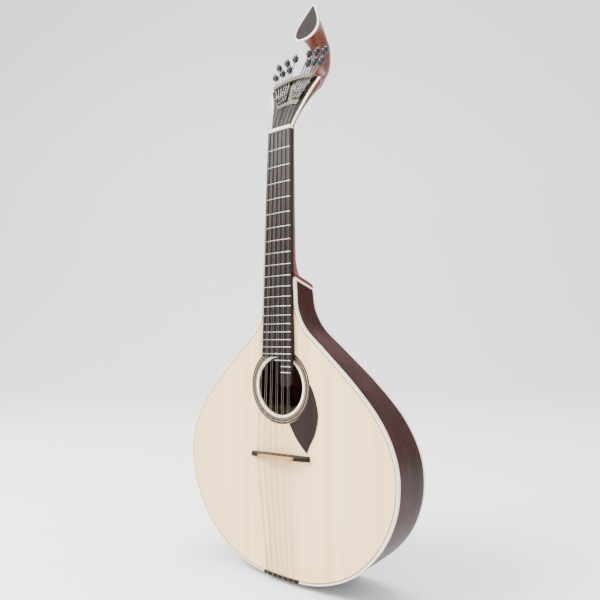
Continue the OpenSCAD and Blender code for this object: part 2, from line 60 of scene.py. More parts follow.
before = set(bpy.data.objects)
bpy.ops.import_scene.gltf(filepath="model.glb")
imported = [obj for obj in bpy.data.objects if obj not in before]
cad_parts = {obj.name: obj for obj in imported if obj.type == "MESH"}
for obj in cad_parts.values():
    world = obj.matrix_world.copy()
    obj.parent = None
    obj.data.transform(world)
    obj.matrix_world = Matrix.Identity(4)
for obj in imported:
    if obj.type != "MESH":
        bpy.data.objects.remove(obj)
CAD_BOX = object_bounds()
ROOT = "instrument"
MM = 0.001
STRING_COUNT = 12

# Depth of the soundboard's face in the frame, in millimetres, from the top binding's front face
FACE_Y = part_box("top_binding")[0].y / MM

# ---------- sizes and colours a user would change ----------


def length(name, description, value):
    """A plain number, in millimetres unless its description says degrees."""
    return bpy.props.FloatProperty(name=name, description=description, default=value, unit="NONE")


def colour(name, description, value):
    """A colour property in linear values."""
    return bpy.props.FloatVectorProperty(
        name=name, description=description, default=value, subtype="COLOR", size=3, min=0.0, max=1.0
    )


class BodySizes(bpy.types.PropertyGroup):
    """Sizes of the body's rim, in millimetres."""

    side: length("Side thickness", "Thickness of the sides and width of the binding", 2.4)
    binding_depth: length("Binding depth", "How far the binding reaches down the side", 5.0)
    edge_round: length("Edge rounding", "Radius of the binding's outer corner", 0.9)
    back_nut: length("Depth at the nut", "Depth of the body carried up to the nut", 21.2)
    back_slope: bpy.props.FloatProperty(
        name="Back slope", description="Gain of depth for each unit towards the tail", default=0.1088
    )
    joint_y: length("Joint depth", "Depth of the heel joint's front edge", 0.4)
    joint_z: length("Joint height", "Height of the heel joint's front edge", -212.0)
    joint_lean: bpy.props.FloatProperty(
        name="Joint lean", description="Drop of the joint for each unit of depth", default=0.323
    )


class NeckSizes(bpy.types.PropertyGroup):
    """Sizes of the neck, board and nut, in millimetres."""

    scale: length("String length", "Length that sets the fret places", 470.0)
    board_y: length("Board crest", "Depth of the board's crest at the nut", 2.7)
    board_slope: bpy.props.FloatProperty(
        name="Board slope", description="Rise of the crest for each unit of length", default=0.0323
    )
    board_radius: length("Board radius", "Radius of the arched playing surface", 300.0)
    half_nut: length("Half width at the nut", "Half width of the board at the nut", 20.8)
    half_end: length("Half width at the end", "Half width of the board over the soundhole", 27.0)
    board_end: length("Board end", "Height of the board's full-width end", -317.5)
    fret_height: length("Fret height", "Height of a fret's crown", 0.9)
    fret_width: length("Fret width", "Width of a fret's crown", 1.7)
    nut_length: length("Nut length", "Length of the nut along the neck", 4.5)
    head_y: length("Head face depth", "Depth of the head's face at the nut", 4.2)
    head_lean: bpy.props.FloatProperty(
        name="Head lean", description="Angle of the head behind the neck",
        default=np.radians(24.2), unit="ROTATION",
    )


class TunerSizes(bpy.types.PropertyGroup):
    """Sizes of the fan tuner, in millimetres and degrees."""

    first: length("First angle", "Angle of the innermost screws, degrees", 5.35)
    step: length("Angle step", "Angle between neighbouring screws, degrees", 3.12)
    rod_out: length("Rod distance", "Distance of the rods from the head's face", 3.2)
    rod_start: length("Rod start", "Lower end of the rods from the nut", 56.0)
    rod_radius: length("Rod radius", "Outer radius of the thread", 1.1)
    pitch: length("Thread pitch", "Advance of the thread for a turn", 0.8)
    thread_depth: length("Thread depth", "Depth of the thread's groove", 0.24)
    bar_in: length("Bar inner radius", "Inner radius of the thrust bar", 89.5)
    fan: length("Fan radius", "Outer radius of the plate and bar", 97.0)
    short: length("Short reach", "Distance to the knobs on short screws", 122.5)
    long: length("Long reach", "Distance to the knobs on long screws", 142.2)
    hook_low: length("Low hooks", "Distance to the hooks on short screws", 64.0)
    hook_high: length("High hooks", "Distance to the hooks on long screws", 68.0)


class StringSizes(bpy.types.PropertyGroup):
    """Places of the strings, in millimetres."""

    gap_nut: length("Gap at the nut", "Distance between pairs at the nut", 7.0)
    gap_bridge: length("Gap at the bridge", "Distance between pairs at the bridge", 10.6)
    gap_tail: length("Gap at the tail", "Distance between pairs at the tail", 9.0)
    pair_nut: length("Pair at the nut", "Distance inside a pair at the nut", 2.2)
    pair_bridge: length("Pair at the bridge", "Distance inside a pair at the bridge", 3.2)
    pair_tail: length("Pair at the tail", "Distance inside a pair at the tail", 1.5)
    bridge_z: length("Bridge height", "Height of the bridge along the neck's direction", -452.5)
    bridge_h: length("String height", "Height of the strings over the soundboard at the bridge", 15.5)
    bridge_tilt: length("Bridge slant", "Slant of the bridge, degrees", 2.2)
    thin: length("Thin string radius", "Radius of the thinnest string", 0.17)
    thick: length("Thick string radius", "Radius of the thickest wound string", 0.32)


class Finishes(bpy.types.PropertyGroup):
    """Main colours of the finishes."""

    spruce: colour("Spruce", "Pale wood of the soundboard", (0.92, 0.66, 0.36))
    spruce_line: colour("Spruce grain", "Darker late wood of the soundboard", (0.66, 0.42, 0.21))
    rosewood: colour("Rosewood", "Main colour of the sides and back", (0.034, 0.0095, 0.0085))
    rosewood_dark: colour("Rosewood streak", "Dark streaks of the sides and back", (0.006, 0.003, 0.003))
    mahogany: colour("Mahogany", "Main colour of the neck and head", (0.105, 0.027, 0.012))
    mahogany_dark: colour("Mahogany pore", "Dark pores of the neck and head", (0.03, 0.009, 0.006))
    ebony: colour("Ebony", "Main colour of the board and veneers", (0.0135, 0.0078, 0.0072))
    ivory: colour("Ivory", "Binding, rings and nut", (0.86, 0.80, 0.70))
    aged_bone: colour("Aged bone", "Bone of the bridge", (0.42, 0.20, 0.04))
    nickel: colour("Nickel", "Plated plate, bar and hooks", (0.19, 0.172, 0.152))
    dark_chrome: colour("Dark chrome", "Knobs and rods", (0.045, 0.045, 0.05))


class StageSizes(bpy.types.PropertyGroup):
    """Camera and floor."""

    azimuth: bpy.props.FloatProperty(
        name="Azimuth", description="Turn of the view about the vertical", default=0.664006, unit="ROTATION"
    )
    pitch: bpy.props.FloatProperty(
        name="Pitch", description="Upward tilt of the view", default=0.055745, unit="ROTATION"
    )
    roll: bpy.props.FloatProperty(
        name="Roll", description="Roll of the view", default=-0.010698, unit="ROTATION"
    )
    eye: bpy.props.FloatVectorProperty(
        name="Eye", description="Place of the camera from the soundboard's face",
        default=(0.491487, -0.581048, -0.282068), subtype="TRANSLATION", size=3,
    )
    lens: bpy.props.FloatProperty(
        name="Lens", description="Focal length in millimetres", default=33.04, unit="CAMERA"
    )
    floor: colour("Floor", "Pale floor and backdrop", (0.92, 0.92, 0.92))


# ---------- surfaces ----------


def in_metres(points):
    """Design millimetres, with the soundboard's face at y = 0, to metres in the frame."""
    return (np.asarray(points, float) + (0.0, FACE_Y, 0.0)) * MM


def curve_through(points, steps):
    """Catmull-Rom curve: cubics whose slope at a point is half the step between its neighbours."""
    p = np.asarray(points, float)
    before = np.vstack([2 * p[0] - p[1], p[:-1]])[: len(p) - 1]
    after = np.vstack([p[2:], 2 * p[-1] - p[-2]])
    b, c = p[:-1], p[1:]
    t = (np.arange(steps) / steps)[None, :, None]
    a, b, c, d = (q[:, None, :] for q in (before, b, c, after))
    cubic = 2 * b + (c - a) * t + (2 * a - 5 * b + 4 * c - d) * t**2 + (3 * b - a - 3 * c + d) * t**3
    return np.vstack([(cubic / 2).reshape(-1, p.shape[1]), p[-1]])


def straight_through(points, steps):
    """The same count of points as curve_through, on straight lines between the given ones."""
    p = np.asarray(points, float)
    t = (np.arange(steps) / steps)[None, :, None]
    return np.vstack([(p[:-1, None] + (p[1:, None] - p[:-1, None]) * t).reshape(-1, p.shape[1]), p[-1]])


def volume(vertices, faces):
    """Signed volume inside faces of four corners: the sum of the tetrahedra from the origin."""
    a, b, c, d = (vertices[faces[:, k]] for k in range(4))
    return (np.einsum("ij,ij->i", a, np.cross(b, c)) + np.einsum("ij,ij->i", a, np.cross(c, d))).sum() / 6


def grid_faces(rows, columns, wrap_rows, wrap_columns):
    """Corner numbers of the quads of a grid of points, joined round where it wraps."""
    i = np.arange(rows if wrap_rows else rows - 1)
    j = np.arange(columns if wrap_columns else columns - 1)
    i, j = (g.ravel() for g in np.meshgrid(i, j, indexing="ij"))
    i2, j2 = (i + 1) % rows, (j + 1) % columns
    return np.stack([i * columns + j, i * columns + j2, i2 * columns + j2, i2 * columns + j], 1)


def surface(points, wrap_rows=False, wrap_columns=True, caps=True):
    """A grid of points as (vertices, quads, end faces), turned so that its faces point outwards."""
    rows, columns = points.shape[:2]
    vertices = points.reshape(-1, 3)
    quads = grid_faces(rows, columns, wrap_rows, wrap_columns)
    ends = []
    if caps and not wrap_rows:
        ends = [np.arange(columns)[::-1], np.arange(columns) + (rows - 1) * columns]
    centre = vertices.mean(0)
    if volume(vertices - centre, quads) < 0:
        quads = quads[:, ::-1]
        ends = [e[::-1] for e in ends]
    if ends:
        ends = fit_ends(vertices, quads, ends)
    return vertices, quads, ends


def fit_ends(vertices, quads, ends):
    """End faces run against the quads that they meet, so that the shell is turned one way all over."""
    edges = [quads[:, [k, (k + 1) % 4]] for k in range(4)]
    used = set(map(tuple, np.concatenate(edges)))
    return [e[::-1] if (e[0], e[1]) in used else e for e in ends]


def joined(parts):
    """Several (vertices, quads, ends) shells as one."""
    vertices, quads, ends, count = [], [], [], 0
    for v, q, e in parts:
        vertices.append(v)
        quads.append(q + count)
        ends += [x + count for x in e]
        count += len(v)
    return np.vstack(vertices), np.vstack(quads), ends


def make_piece(name, shell, material, body=ROOT, replaced=(), crease=40.0):
    """A mesh object from a shell in design millimetres, smooth but for edges sharper than crease."""
    vertices, quads, ends = shell
    mesh = bpy.data.meshes.new(name)
    mesh.from_pydata(in_metres(vertices).tolist(), [], quads.tolist() + [e.tolist() for e in ends])
    mesh.update()
    mesh.shade_smooth()
    mesh.set_sharp_from_angle(angle=np.radians(crease))
    piece = bpy.data.objects.new(name, mesh)
    bpy.context.scene.collection.objects.link(piece)
    mesh.materials.append(material)
    if body is not None:
        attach(piece, body)
    if replaced:
        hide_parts(*replaced)
    return piece


def lathe(profile, sides, place):
    """Profile of [radius, height] turned round +Z: x = r cos a, y = r sin a, then put in place."""
    profile = np.asarray(profile, float)
    a = 2 * np.pi * np.arange(sides) / sides
    r, z = profile[:, :1], profile[:, 1:]
    points = np.stack([r * np.cos(a), r * np.sin(a), z + 0 * a], 2)
    return surface(place(points))


def tube(path, radius, sides=10):
    """A circle carried along a path: each ring lies across the mean of its two neighbouring steps."""
    path = np.asarray(path, float)
    t = np.gradient(path, axis=0)
    t /= np.linalg.norm(t, axis=1, keepdims=True)
    across = np.cross(t, (1.0, 0.0, 0.0))
    across /= np.linalg.norm(across, axis=1, keepdims=True)
    over = np.cross(across, t)
    a = 2 * np.pi * np.arange(sides) / sides
    r = np.broadcast_to(np.asarray(radius, float), (len(path),))[:, None, None]
    ring = np.cos(a)[None, :, None] * over[:, None] + np.sin(a)[None, :, None] * across[:, None]
    return surface(path[:, None] + r * ring)


def rounded_route(points, reach, steps=6):
    """Straight runs joined by a parabola at each bend, which starts and ends at most reach from it."""
    p = np.asarray(points, float)
    d = np.diff(p, axis=0)
    size = np.linalg.norm(d, axis=1)
    room = np.minimum(reach, 0.45 * np.minimum(size[:-1], size[1:]))[:, None]
    start = p[1:-1] - room * (d / size[:, None])[:-1]
    end = p[1:-1] + room * (d / size[:, None])[1:]
    t = np.linspace(0, 1, steps)[None, :, None]
    bends = (1 - t) ** 2 * start[:, None] + 2 * t * (1 - t) * p[1:-1, None] + t**2 * end[:, None]
    return np.vstack([p[:1], bends.reshape(-1, 3), p[-1:]])


# ---------- materials ----------


class Nodes:
    """Adds nodes to one material and joins them."""

    def __init__(self, name):
        self.material = bpy.data.materials.new(name)
        self.material.use_nodes = True
        self.tree = self.material.node_tree
        self.shader = self.tree.nodes["Principled BSDF"]

    def add(self, kind, inputs=(), **settings):
        node = self.tree.nodes.new(kind)
        for key, value in settings.items():
            setattr(node, key, value)
        for key, value in dict(inputs).items():
            if isinstance(value, bpy.types.NodeSocket):
                self.tree.links.new(value, node.inputs[key])
            else:
                node.inputs[key].default_value = value
        return node

    def place(self, scale=(1.0, 1.0, 1.0)):
        """Object coordinates, stretched."""
        source = self.add("ShaderNodeTexCoord")
        return self.add("ShaderNodeMapping", {"Vector": source.outputs["Object"], "Scale": scale}).outputs[0]

    def noise(self, scale, stretch=(1.0, 1.0, 1.0), detail=4.0, rough=0.5, distortion=0.0):
        node = self.add(
            "ShaderNodeTexNoise",
            {
                "Vector": self.place(stretch), "Scale": scale, "Detail": detail,
                "Roughness": rough, "Distortion": distortion,
            },
        )
        return node.outputs["Fac"]

    def ramp(self, fac, stops):
        node = self.add("ShaderNodeValToRGB", {"Fac": fac})
        band = node.color_ramp
        while len(band.elements) < len(stops):
            band.elements.new(0.5)
        for element, (at, shade) in zip(band.elements, stops):
            element.position = at
            element.color = (*shade, 1.0) if len(shade) == 3 else shade
        return node.outputs["Color"]

    def mix(self, fac, a, b, kind="MIX"):
        node = self.add("ShaderNodeMix", data_type="RGBA", blend_type=kind)
        for index, value in ((0, fac), (6, a), (7, b)):
            if isinstance(value, bpy.types.NodeSocket):
                self.tree.links.new(value, node.inputs[index])
            else:
                node.inputs[index].default_value = value if index == 0 else (*value, 1.0)
        return node.outputs[2]

    def math(self, kind, a, b=0.0, clamp=False):
        node = self.add("ShaderNodeMath", operation=kind, use_clamp=clamp)
        for index, value in ((0, a), (1, b)):
            if isinstance(value, bpy.types.NodeSocket):
                self.tree.links.new(value, node.inputs[index])
            else:
                node.inputs[index].default_value = value
        return node.outputs[0]

    def spread(self, fac, low, high):
        """A value from 0..1 to low..high."""
        node = self.add("ShaderNodeMapRange", {"Value": fac, "To Min": low, "To Max": high})
        return node.outputs["Result"]

    def bump(self, height, strength, distance):
        node = self.add("ShaderNodeBump", {"Height": height, "Strength": strength, "Distance": distance})
        self.tree.links.new(node.outputs["Normal"], self.shader.inputs["Normal"])

    def finish(self, base, rough, metal=0.0, coat=0.0, coat_rough=0.1, specular=0.5):
        for key, value in (("Base Color", base), ("Roughness", rough)):
            if isinstance(value, bpy.types.NodeSocket):
                self.tree.links.new(value, self.shader.inputs[key])
            else:
                self.shader.inputs[key].default_value = (*value, 1.0) if key == "Base Color" else value
        self.shader.inputs["Metallic"].default_value = metal
        self.shader.inputs["Coat Weight"].default_value = coat
        self.shader.inputs["Coat Roughness"].default_value = coat_rough
        self.shader.inputs["Specular IOR Level"].default_value = specular
        return self.material


def tinted(shade, factor):
    """A colour made lighter or darker."""
    return tuple(min(1.0, c * factor) for c in shade)


def spruce(colours):
    """Book-matched spruce: narrow late-wood lines up the board, slow colour bands and faint silk across."""
    n = Nodes("Spruce soundboard")
    split = n.add("ShaderNodeSeparateXYZ", {"Vector": n.place()})
    half = n.math("ABSOLUTE", split.outputs["X"])
    wander = n.noise(5.0, (1.0, 1.0, 0.35), detail=2.0)
    moved = n.math("MULTIPLY_ADD", wander, 0.006)
    n.tree.links.new(half, moved.node.inputs[2])
    line = n.math("SINE", n.math("MULTIPLY", moved, 3900.0))
    fine = n.spread(line, 0.0, 1.0)
    fine.node.inputs["From Min"].default_value = -1.0
    narrow = n.math("POWER", fine, 3.0)
    vary = n.noise(60.0, (1.0, 1.0, 0.02), detail=3.0)
    amount = n.math("MULTIPLY", narrow, n.spread(vary, 0.05, 0.8), clamp=True)
    stripe = n.noise(70.0, (1.0, 1.0, 0.025), detail=3.0, rough=0.6)
    slow = n.ramp(stripe, [(0.34, (0.0, 0.0, 0.0)), (0.66, (1.0, 1.0, 1.0))])
    light = n.mix(slow, (0.82, 0.54, 0.26), tinted(colours.spruce, 1.05))
    cloud = n.noise(3.2, (1.0, 1.0, 0.6), detail=2.0)
    warm = n.mix(n.spread(cloud, 0.0, 0.35), light, (0.84, 0.55, 0.27))
    silk = n.noise(210.0, (0.22, 1.0, 2.6), detail=2.0, rough=0.45)
    grained = n.mix(n.math("MULTIPLY", amount, 0.5), warm, colours.spruce_line)
    base = n.mix(n.spread(silk, 0.0, 0.06), grained, (0.98, 0.84, 0.56))
    n.bump(n.math("SUBTRACT", 1.0, amount), 0.12, 0.00006)
    return n.finish(base, n.spread(vary, 0.30, 0.42), coat=0.15, coat_rough=0.2, specular=0.35)


def rosewood(colours):
    """Dark red-brown wood with long wavy streaks and open pores under a satin lacquer."""
    n = Nodes("Rosewood")
    streak = n.noise(26.0, (1.0, 1.0, 0.10), detail=6.0, rough=0.62, distortion=0.6)
    band = n.noise(7.0, (1.0, 1.0, 0.16), detail=3.0, distortion=1.2)
    tone = n.math("MULTIPLY", streak, n.spread(band, 0.7, 1.35), clamp=True)
    base = n.ramp(
        tone,
        [
            (0.30, colours.rosewood_dark), (0.47, tinted(colours.rosewood, 0.75)),
            (0.60, colours.rosewood), (0.78, tinted(colours.rosewood, 1.7)),
        ],
    )
    pore = n.noise(650.0, (1.0, 1.0, 0.03), detail=2.0, rough=0.5)
    pores = n.ramp(pore, [(0.36, (0.35, 0.35, 0.35)), (0.46, (1.0, 1.0, 1.0))])
    n.bump(pores, 0.10, 0.00008)
    return n.finish(n.mix(1.0, base, pores, "MULTIPLY"), n.spread(streak, 0.42, 0.30), specular=0.06)


def mahogany(colours):
    """Red-brown wood with short dark pores and a soft ribbon figure, lacquered."""
    n = Nodes("Mahogany")
    ribbon = n.noise(16.0, (1.0, 1.0, 0.14), detail=4.0, distortion=0.5)
    fine = n.noise(120.0, (1.0, 1.0, 0.05), detail=4.0, rough=0.6)
    base = n.mix(ribbon, tinted(colours.mahogany, 0.72), tinted(colours.mahogany, 1.4))
    base = n.mix(n.spread(fine, 0.0, 0.35), base, colours.mahogany_dark)
    pore = n.noise(700.0, (1.0, 1.0, 0.05), detail=2.0)
    pores = n.ramp(pore, [(0.30, (0.62, 0.58, 0.56)), (0.44, (1.0, 1.0, 1.0))])
    n.bump(pores, 0.08, 0.00006)
    shade = n.mix(1.0, base, pores, "MULTIPLY")
    return n.finish(shade, n.spread(fine, 0.30, 0.40), coat=0.04, coat_rough=0.15, specular=0.2)


def ebony(colours, name="Ebony", gain=1.0, rough=(0.34, 0.5)):
    """Near-black wood with faint brown streaks and fine pores, oiled."""
    n = Nodes(name)
    streak = n.noise(38.0, (1.0, 1.0, 0.06), detail=5.0, rough=0.6, distortion=0.3)
    base = n.ramp(
        streak,
        [(at, tinted(colours.ebony, share * gain)) for at, share in ((0.30, 0.55), (0.55, 1.0), (0.8, 1.9))],
    )
    pore = n.noise(1100.0, (1.0, 1.0, 0.04), detail=2.0)
    n.bump(pore, 0.07, 0.00005)
    return n.finish(base, n.spread(pore, *rough), specular=0.1)


def ivory(colours, name="Ivory binding", warm=1.0):
    """Cream plastic or bone: faint long grain, slightly warm hollows, polished."""
    n = Nodes(name)
    grain = n.noise(220.0, (1.0, 1.0, 0.10), detail=3.0)
    cloud = n.noise(30.0, detail=2.0)
    shade = tuple(c * w for c, w in zip(colours.ivory, (1.0, 1.0 - 0.03 * warm, 1.0 - 0.10 * warm)))
    base = n.mix(n.spread(grain, 0.0, 0.5), shade, tinted(shade, 0.88))
    base = n.mix(n.spread(cloud, 0.0, 0.25), base, (0.80, 0.68, 0.50))
    n.bump(grain, 0.04, 0.00004)
    return n.finish(base, n.spread(cloud, 0.22, 0.34), coat=0.3, coat_rough=0.1)


def aged_bone(colours):
    """Tan-yellow bone with fine dark pores along it."""
    n = Nodes("Aged bone")
    grain = n.noise(160.0, (0.12, 1.0, 1.0), detail=4.0)
    base = n.mix(grain, tinted(colours.aged_bone, 0.7), tinted(colours.aged_bone, 1.3))
    pore = n.noise(900.0, (0.1, 1.0, 1.0), detail=2.0)
    n.bump(pore, 0.06, 0.00005)
    return n.finish(base, n.spread(pore, 0.26, 0.38), coat=0.25)


def plated(name, shade, rough, haze=0.08, tarnish=(0.35, 0.24, 0.16), tarnish_amount=0.2):
    """Plated metal with fine rubbed marks and a little tarnish in slow patches."""
    n = Nodes(name)
    patch = n.noise(55.0, detail=4.0, rough=0.6)
    rub = n.noise(1500.0, (1.0, 1.0, 0.12), detail=2.0)
    worn = n.ramp(patch, [(0.50, (0.0, 0.0, 0.0)), (0.75, (tarnish_amount,) * 3)])
    base = n.mix(worn, shade, tarnish)
    n.bump(rub, 0.03, 0.00003)
    return n.finish(base, n.spread(patch, rough, rough + haze), metal=1.0)


def wound_wire(name, shade, winding):
    """Steel wire: the wound kind has fine rings across its length."""
    n = Nodes(name)
    rings = n.noise(winding, (0.05, 0.05, 1.0), detail=1.0)
    n.bump(rings, 0.35, 0.00005)
    return n.finish(n.mix(rings, tinted(shade, 0.7), tinted(shade, 1.1)), 0.3, metal=1.0)


def bare_wood(name, shade):
    """Unfinished inner wood with plain grain."""
    n = Nodes(name)
    grain = n.noise(60.0, (1.0, 1.0, 0.08), detail=5.0, rough=0.6)
    fine = n.noise(500.0, (1.0, 1.0, 0.05), detail=2.0)
    base = n.mix(grain, tinted(shade, 0.72), tinted(shade, 1.12))
    n.bump(fine, 0.15, 0.00008)
    return n.finish(base, n.spread(fine, 0.62, 0.78))


def ring_inlay(colours, centre, rings):
    """Bands of colour by the distance from the soundhole's centre, each ring as (outer radius mm, colour)."""
    n = Nodes("Rosette")
    source = n.add("ShaderNodeTexCoord").outputs["Object"]
    moved = n.add("ShaderNodeVectorMath", {0: source, 1: tuple(centre)}, operation="SUBTRACT")
    flat = n.add("ShaderNodeVectorMath", {0: moved.outputs[0], 1: (1.0, 0.0, 1.0)}, operation="MULTIPLY")
    radius = n.add("ShaderNodeVectorMath", {0: flat.outputs[0]}, operation="LENGTH").outputs["Value"]
    grain = n.noise(300.0, detail=3.0)
    base = rings[0][1]
    for outer, shade in rings[1:]:
        inside = n.math("LESS_THAN", radius, outer * MM)
        base = n.mix(inside, base, shade)
    base = n.mix(n.spread(grain, 0.0, 0.25), base, (0.02, 0.015, 0.012))
    return n.finish(base, n.spread(grain, 0.26, 0.4), specular=0.15)


FINISH = {}


def make_finishes(colours):
    """Every finish by its name."""
    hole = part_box("soundhole_ring")
    centre = ((hole[0].x + hole[1].x) / 2, 0.0, (hole[0].z + hole[1].z) / 2)
    dark, tan, cream = (0.012, 0.007, 0.006), (0.085, 0.045, 0.025), (0.62, 0.50, 0.36)
    FINISH.update(
        spruce=spruce(colours),
        rosewood=rosewood(colours),
        mahogany=mahogany(colours),
        ebony=ebony(colours),
        veneer=ebony(colours, "Head veneer", 1.15, (0.26, 0.4)),
        leaf=ebony(colours, "Pickguard wood", 1.35, (0.3, 0.42)),
        ivory=ivory(colours),
        bone=ivory(colours, "Nut bone", 1.6),
        aged_bone=aged_bone(colours),
        nickel=plated(
            "Nickel plate", colours.nickel, 0.24, tarnish=(0.12, 0.075, 0.045), tarnish_amount=0.55
        ),
        hooks=plated("Hook nickel", tinted(colours.nickel, 0.9), 0.24, tarnish_amount=0.45),
        dark_chrome=plated("Dark chrome", colours.dark_chrome, 0.14, tarnish=(0.1, 0.09, 0.09)),
        rod=plated("Rod steel", (0.22, 0.215, 0.21), 0.2),
        brass=plated("Brass screws", (0.60, 0.38, 0.20), 0.22),
        fret_wire=plated("Fret wire", (0.30, 0.285, 0.27), 0.22),
        plain_wire=wound_wire("Plain string wire", (0.26, 0.26, 0.26), 900.0),
        wound_wire=wound_wire("Wound string wire", (0.24, 0.22, 0.19), 3200.0),
        inner_wood=bare_wood("Inner wood", (0.16, 0.10, 0.05)),
        maple=bare_wood("Maple strip", (0.62, 0.44, 0.25)),
        dark_line=ebony(colours, "Dark purfling", 0.8),
        pale_line=bare_wood("Pale purfling", (0.74, 0.58, 0.38)),
        rosette=ring_inlay(
            colours, centre,
            [
                (60.0, dark), (50.7, tan), (49.9, dark), (48.6, cream), (48.15, dark), (46.9, tan),
                (45.9, dark), (45.1, cream), (44.75, dark),
            ],
        ),
    )


CAD_FINISH = {
    "soundboard": "spruce", "back_plate": "rosewood", "end_graft": "maple", "neck_block": "inner_wood",
    "tail_block_wood": "inner_wood", "top_lining": "inner_wood", "back_lining": "inner_wood",
    "top_braces": "inner_wood", "back_braces": "inner_wood", "rosette": "rosette",
    "soundhole_ring": "ivory", "pickguard": "leaf", "tail_saddle": "ebony", "tailpiece": "nickel",
    "tailpiece_screws": "brass", "heel_strip": "ivory", "fretboard": "ebony", "head_veneer": "veneer",
    "head_binding": "ivory", "tuner_plate": "nickel", "tuner_bar": "nickel",
    "tuner_mount_screws": "brass",
}


# ---------- body ----------

HALF_BODY = [
    (27, -200), (28, -228), (30.5, -254), (44, -280), (73.5, -307.5), (120, -351), (155.5, -392.5),
    (174.3, -432), (178.8, -469), (171.5, -509), (150, -549.5), (112, -586.5), (60, -609),
]
TAIL_POINT = (0, -614.6)
OUTLINE_STEPS = 24


def body_outline(inset):
    """The pear outline from the treble shoulder round the tail to the bass shoulder, moved in by inset.

    It is a Catmull-Rom curve through the half outline, the tail and the mirrored half, and each point
    moves square to the curve's direction.
    """
    half = [tuple(p) for p in HALF_BODY]
    whole = half + [TAIL_POINT] + [(-x, z) for x, z in reversed(half)]
    p = curve_through(whole, OUTLINE_STEPS)
    t = np.gradient(p, axis=0)
    t /= np.linalg.norm(t, axis=1, keepdims=True)
    return p + inset * np.stack([t[:, 1], -t[:, 0]], 1)


def rim_shell(sizes, profile, count=620):
    """A closed profile carried round the body's outline and cut off at the heel joint.

    Each profile point is (inset, front depth or None, height over the back or None). Its row of the
    grid follows the outline at that inset, and its depth is the front depth or the back's depth less
    the height, so the rows together sweep the profile along the rim.
    """
    rows = []
    for inset, front, over_back in profile:
        line = body_outline(inset)
        x, z = line[:, 0], line[:, 1]
        back = sizes.back_nut - sizes.back_slope * z
        y = np.full_like(z, front) if over_back is None else back - over_back * np.hypot(1, sizes.back_slope)
        cut = sizes.joint_z - (y - sizes.joint_y) * sizes.joint_lean
        under = np.flatnonzero(z < cut)
        first, last = under[0], under[-1]
        gap = z - cut
        u0 = first - gap[first] / (gap[first] - gap[first - 1])
        u1 = last + gap[last] / (gap[last] - gap[last + 1])
        u = np.linspace(u0, u1, count)
        k = np.arange(len(z))
        rows.append(np.stack([np.interp(u, k, x), np.interp(u, k, y), np.interp(u, k, z)], 1))
    return surface(np.stack(rows, 1))


def quarter_round(radius, steps=4):
    """Points of a quarter circle from (radius, 0) to (0, radius), which rounds an outer corner."""
    a = np.linspace(0, np.pi / 2, steps + 1)
    return [(radius * (1 - np.sin(t)), radius * (1 - np.cos(t))) for t in a]


def binding_profile(sizes):
    """Rounded strip: flat face, rounded outer corner, outer wall and plain inner wall."""
    corner = quarter_round(sizes.edge_round)
    return [(sizes.side, 0.0)] + corner + [(0.0, sizes.binding_depth), (sizes.side, sizes.binding_depth)]


def build_rim(sizes):
    """Both bindings, the sides and the purfling, each a profile carried round the rim."""
    front = [(d, y, None) for d, y in binding_profile(sizes)]
    back = [(d, None, h) for d, h in binding_profile(sizes)]
    bindings = (("front_binding", front, "top_binding"), ("rear_binding", back, "back_binding"))
    for name, profile, node in bindings:
        make_piece(name, rim_shell(sizes, profile), FINISH["ivory"], replaced=[node])
    edge = sizes.binding_depth + 0.01
    wall = [(0.03, edge, None), (0.03, None, edge), (sizes.side, None, edge), (sizes.side, edge, None)]
    make_piece(
        "ribs", rim_shell(sizes, wall), FINISH["rosewood"], replaced=["side_bass", "side_treble"]
    )
    lines = ((0.0, 0.45, "dark_line"), (0.45, 0.85, "pale_line"), (0.85, 1.4, "dark_line"))
    for k, (inner, outer, finish) in enumerate(lines):
        a, b = sizes.side + inner, sizes.side + outer
        strip = [(a, -0.02, None), (b, -0.02, None), (b, 0.9, None), (a, 0.9, None)]
        make_piece(
            f"purfling_line_{k + 1}", rim_shell(sizes, strip), FINISH[finish],
            replaced=["top_purfling"],
        )


# ---------- neck ----------

HEEL_STATIONS = [
    (1.38, -208.95, 48, -224, 27.6, -1), (1.6, -203.9, 47.9, -218.9, 27.5, -1),
    (1.7, -203.2, 43, -216.2, 26, -0.3), (2, -200.5, 36, -210, 24.6, 0),
    (2.2, -195, 28, -199, 24.3, 0), (2.4, -187, 23, -188, 24.2, 0),
]
NECK_STATIONS = [
    (2.6, -172, 21.6, -172, 23.9, 0), (4, -120, 21.4, -120, 22.9, 0), (6, -70, 21.4, -70, 21.9, 0),
    (8.4, -12, 21.6, -12, 20.8, 0), (8.85, 0.5, 21.6, 0.5, 20.8, 0),
]
HEAD_STATIONS = [
    (6.2, 9.4, 0, 21.6), (25, 9.7, 0, 24.8), (45, 12.5, 0, 30.3), (65, 17.3, 0, 37.2),
    (79, 22.2, 2, 43), (86, 25, 7, 44), (92, 31.8, 15, 38), (95.5, 43.9, 24, 28),
]
STEM_STATIONS = [
    (64, 94, 110.4, 115, 22, 0.6), (76, 105, 118, 126, 17, 1), (86, 123, 123.6, 138, 14.2, 1),
    (90, 142, 125, 149, 13.5, 1), (88.5, 154, 123.3, 165, 13.6, 1), (82, 160.5, 112, 182, 15.5, 1.2),
    (74, 162.5, 104, 202, 18, 1.7), (67, 160.5, 96, 216, 20.4, 2),
]
FINIAL_LIP = np.array([61.5, 157.0])
FINIAL_TIP = np.array([89.4, 226.3])
FINIAL_HALF = 21.8
FINIAL_THICK = 2.4
FINIAL_EDGE = 2.4
VENEER = 2.0
SECTION_HALF = 40
NECK_STEPS = 14


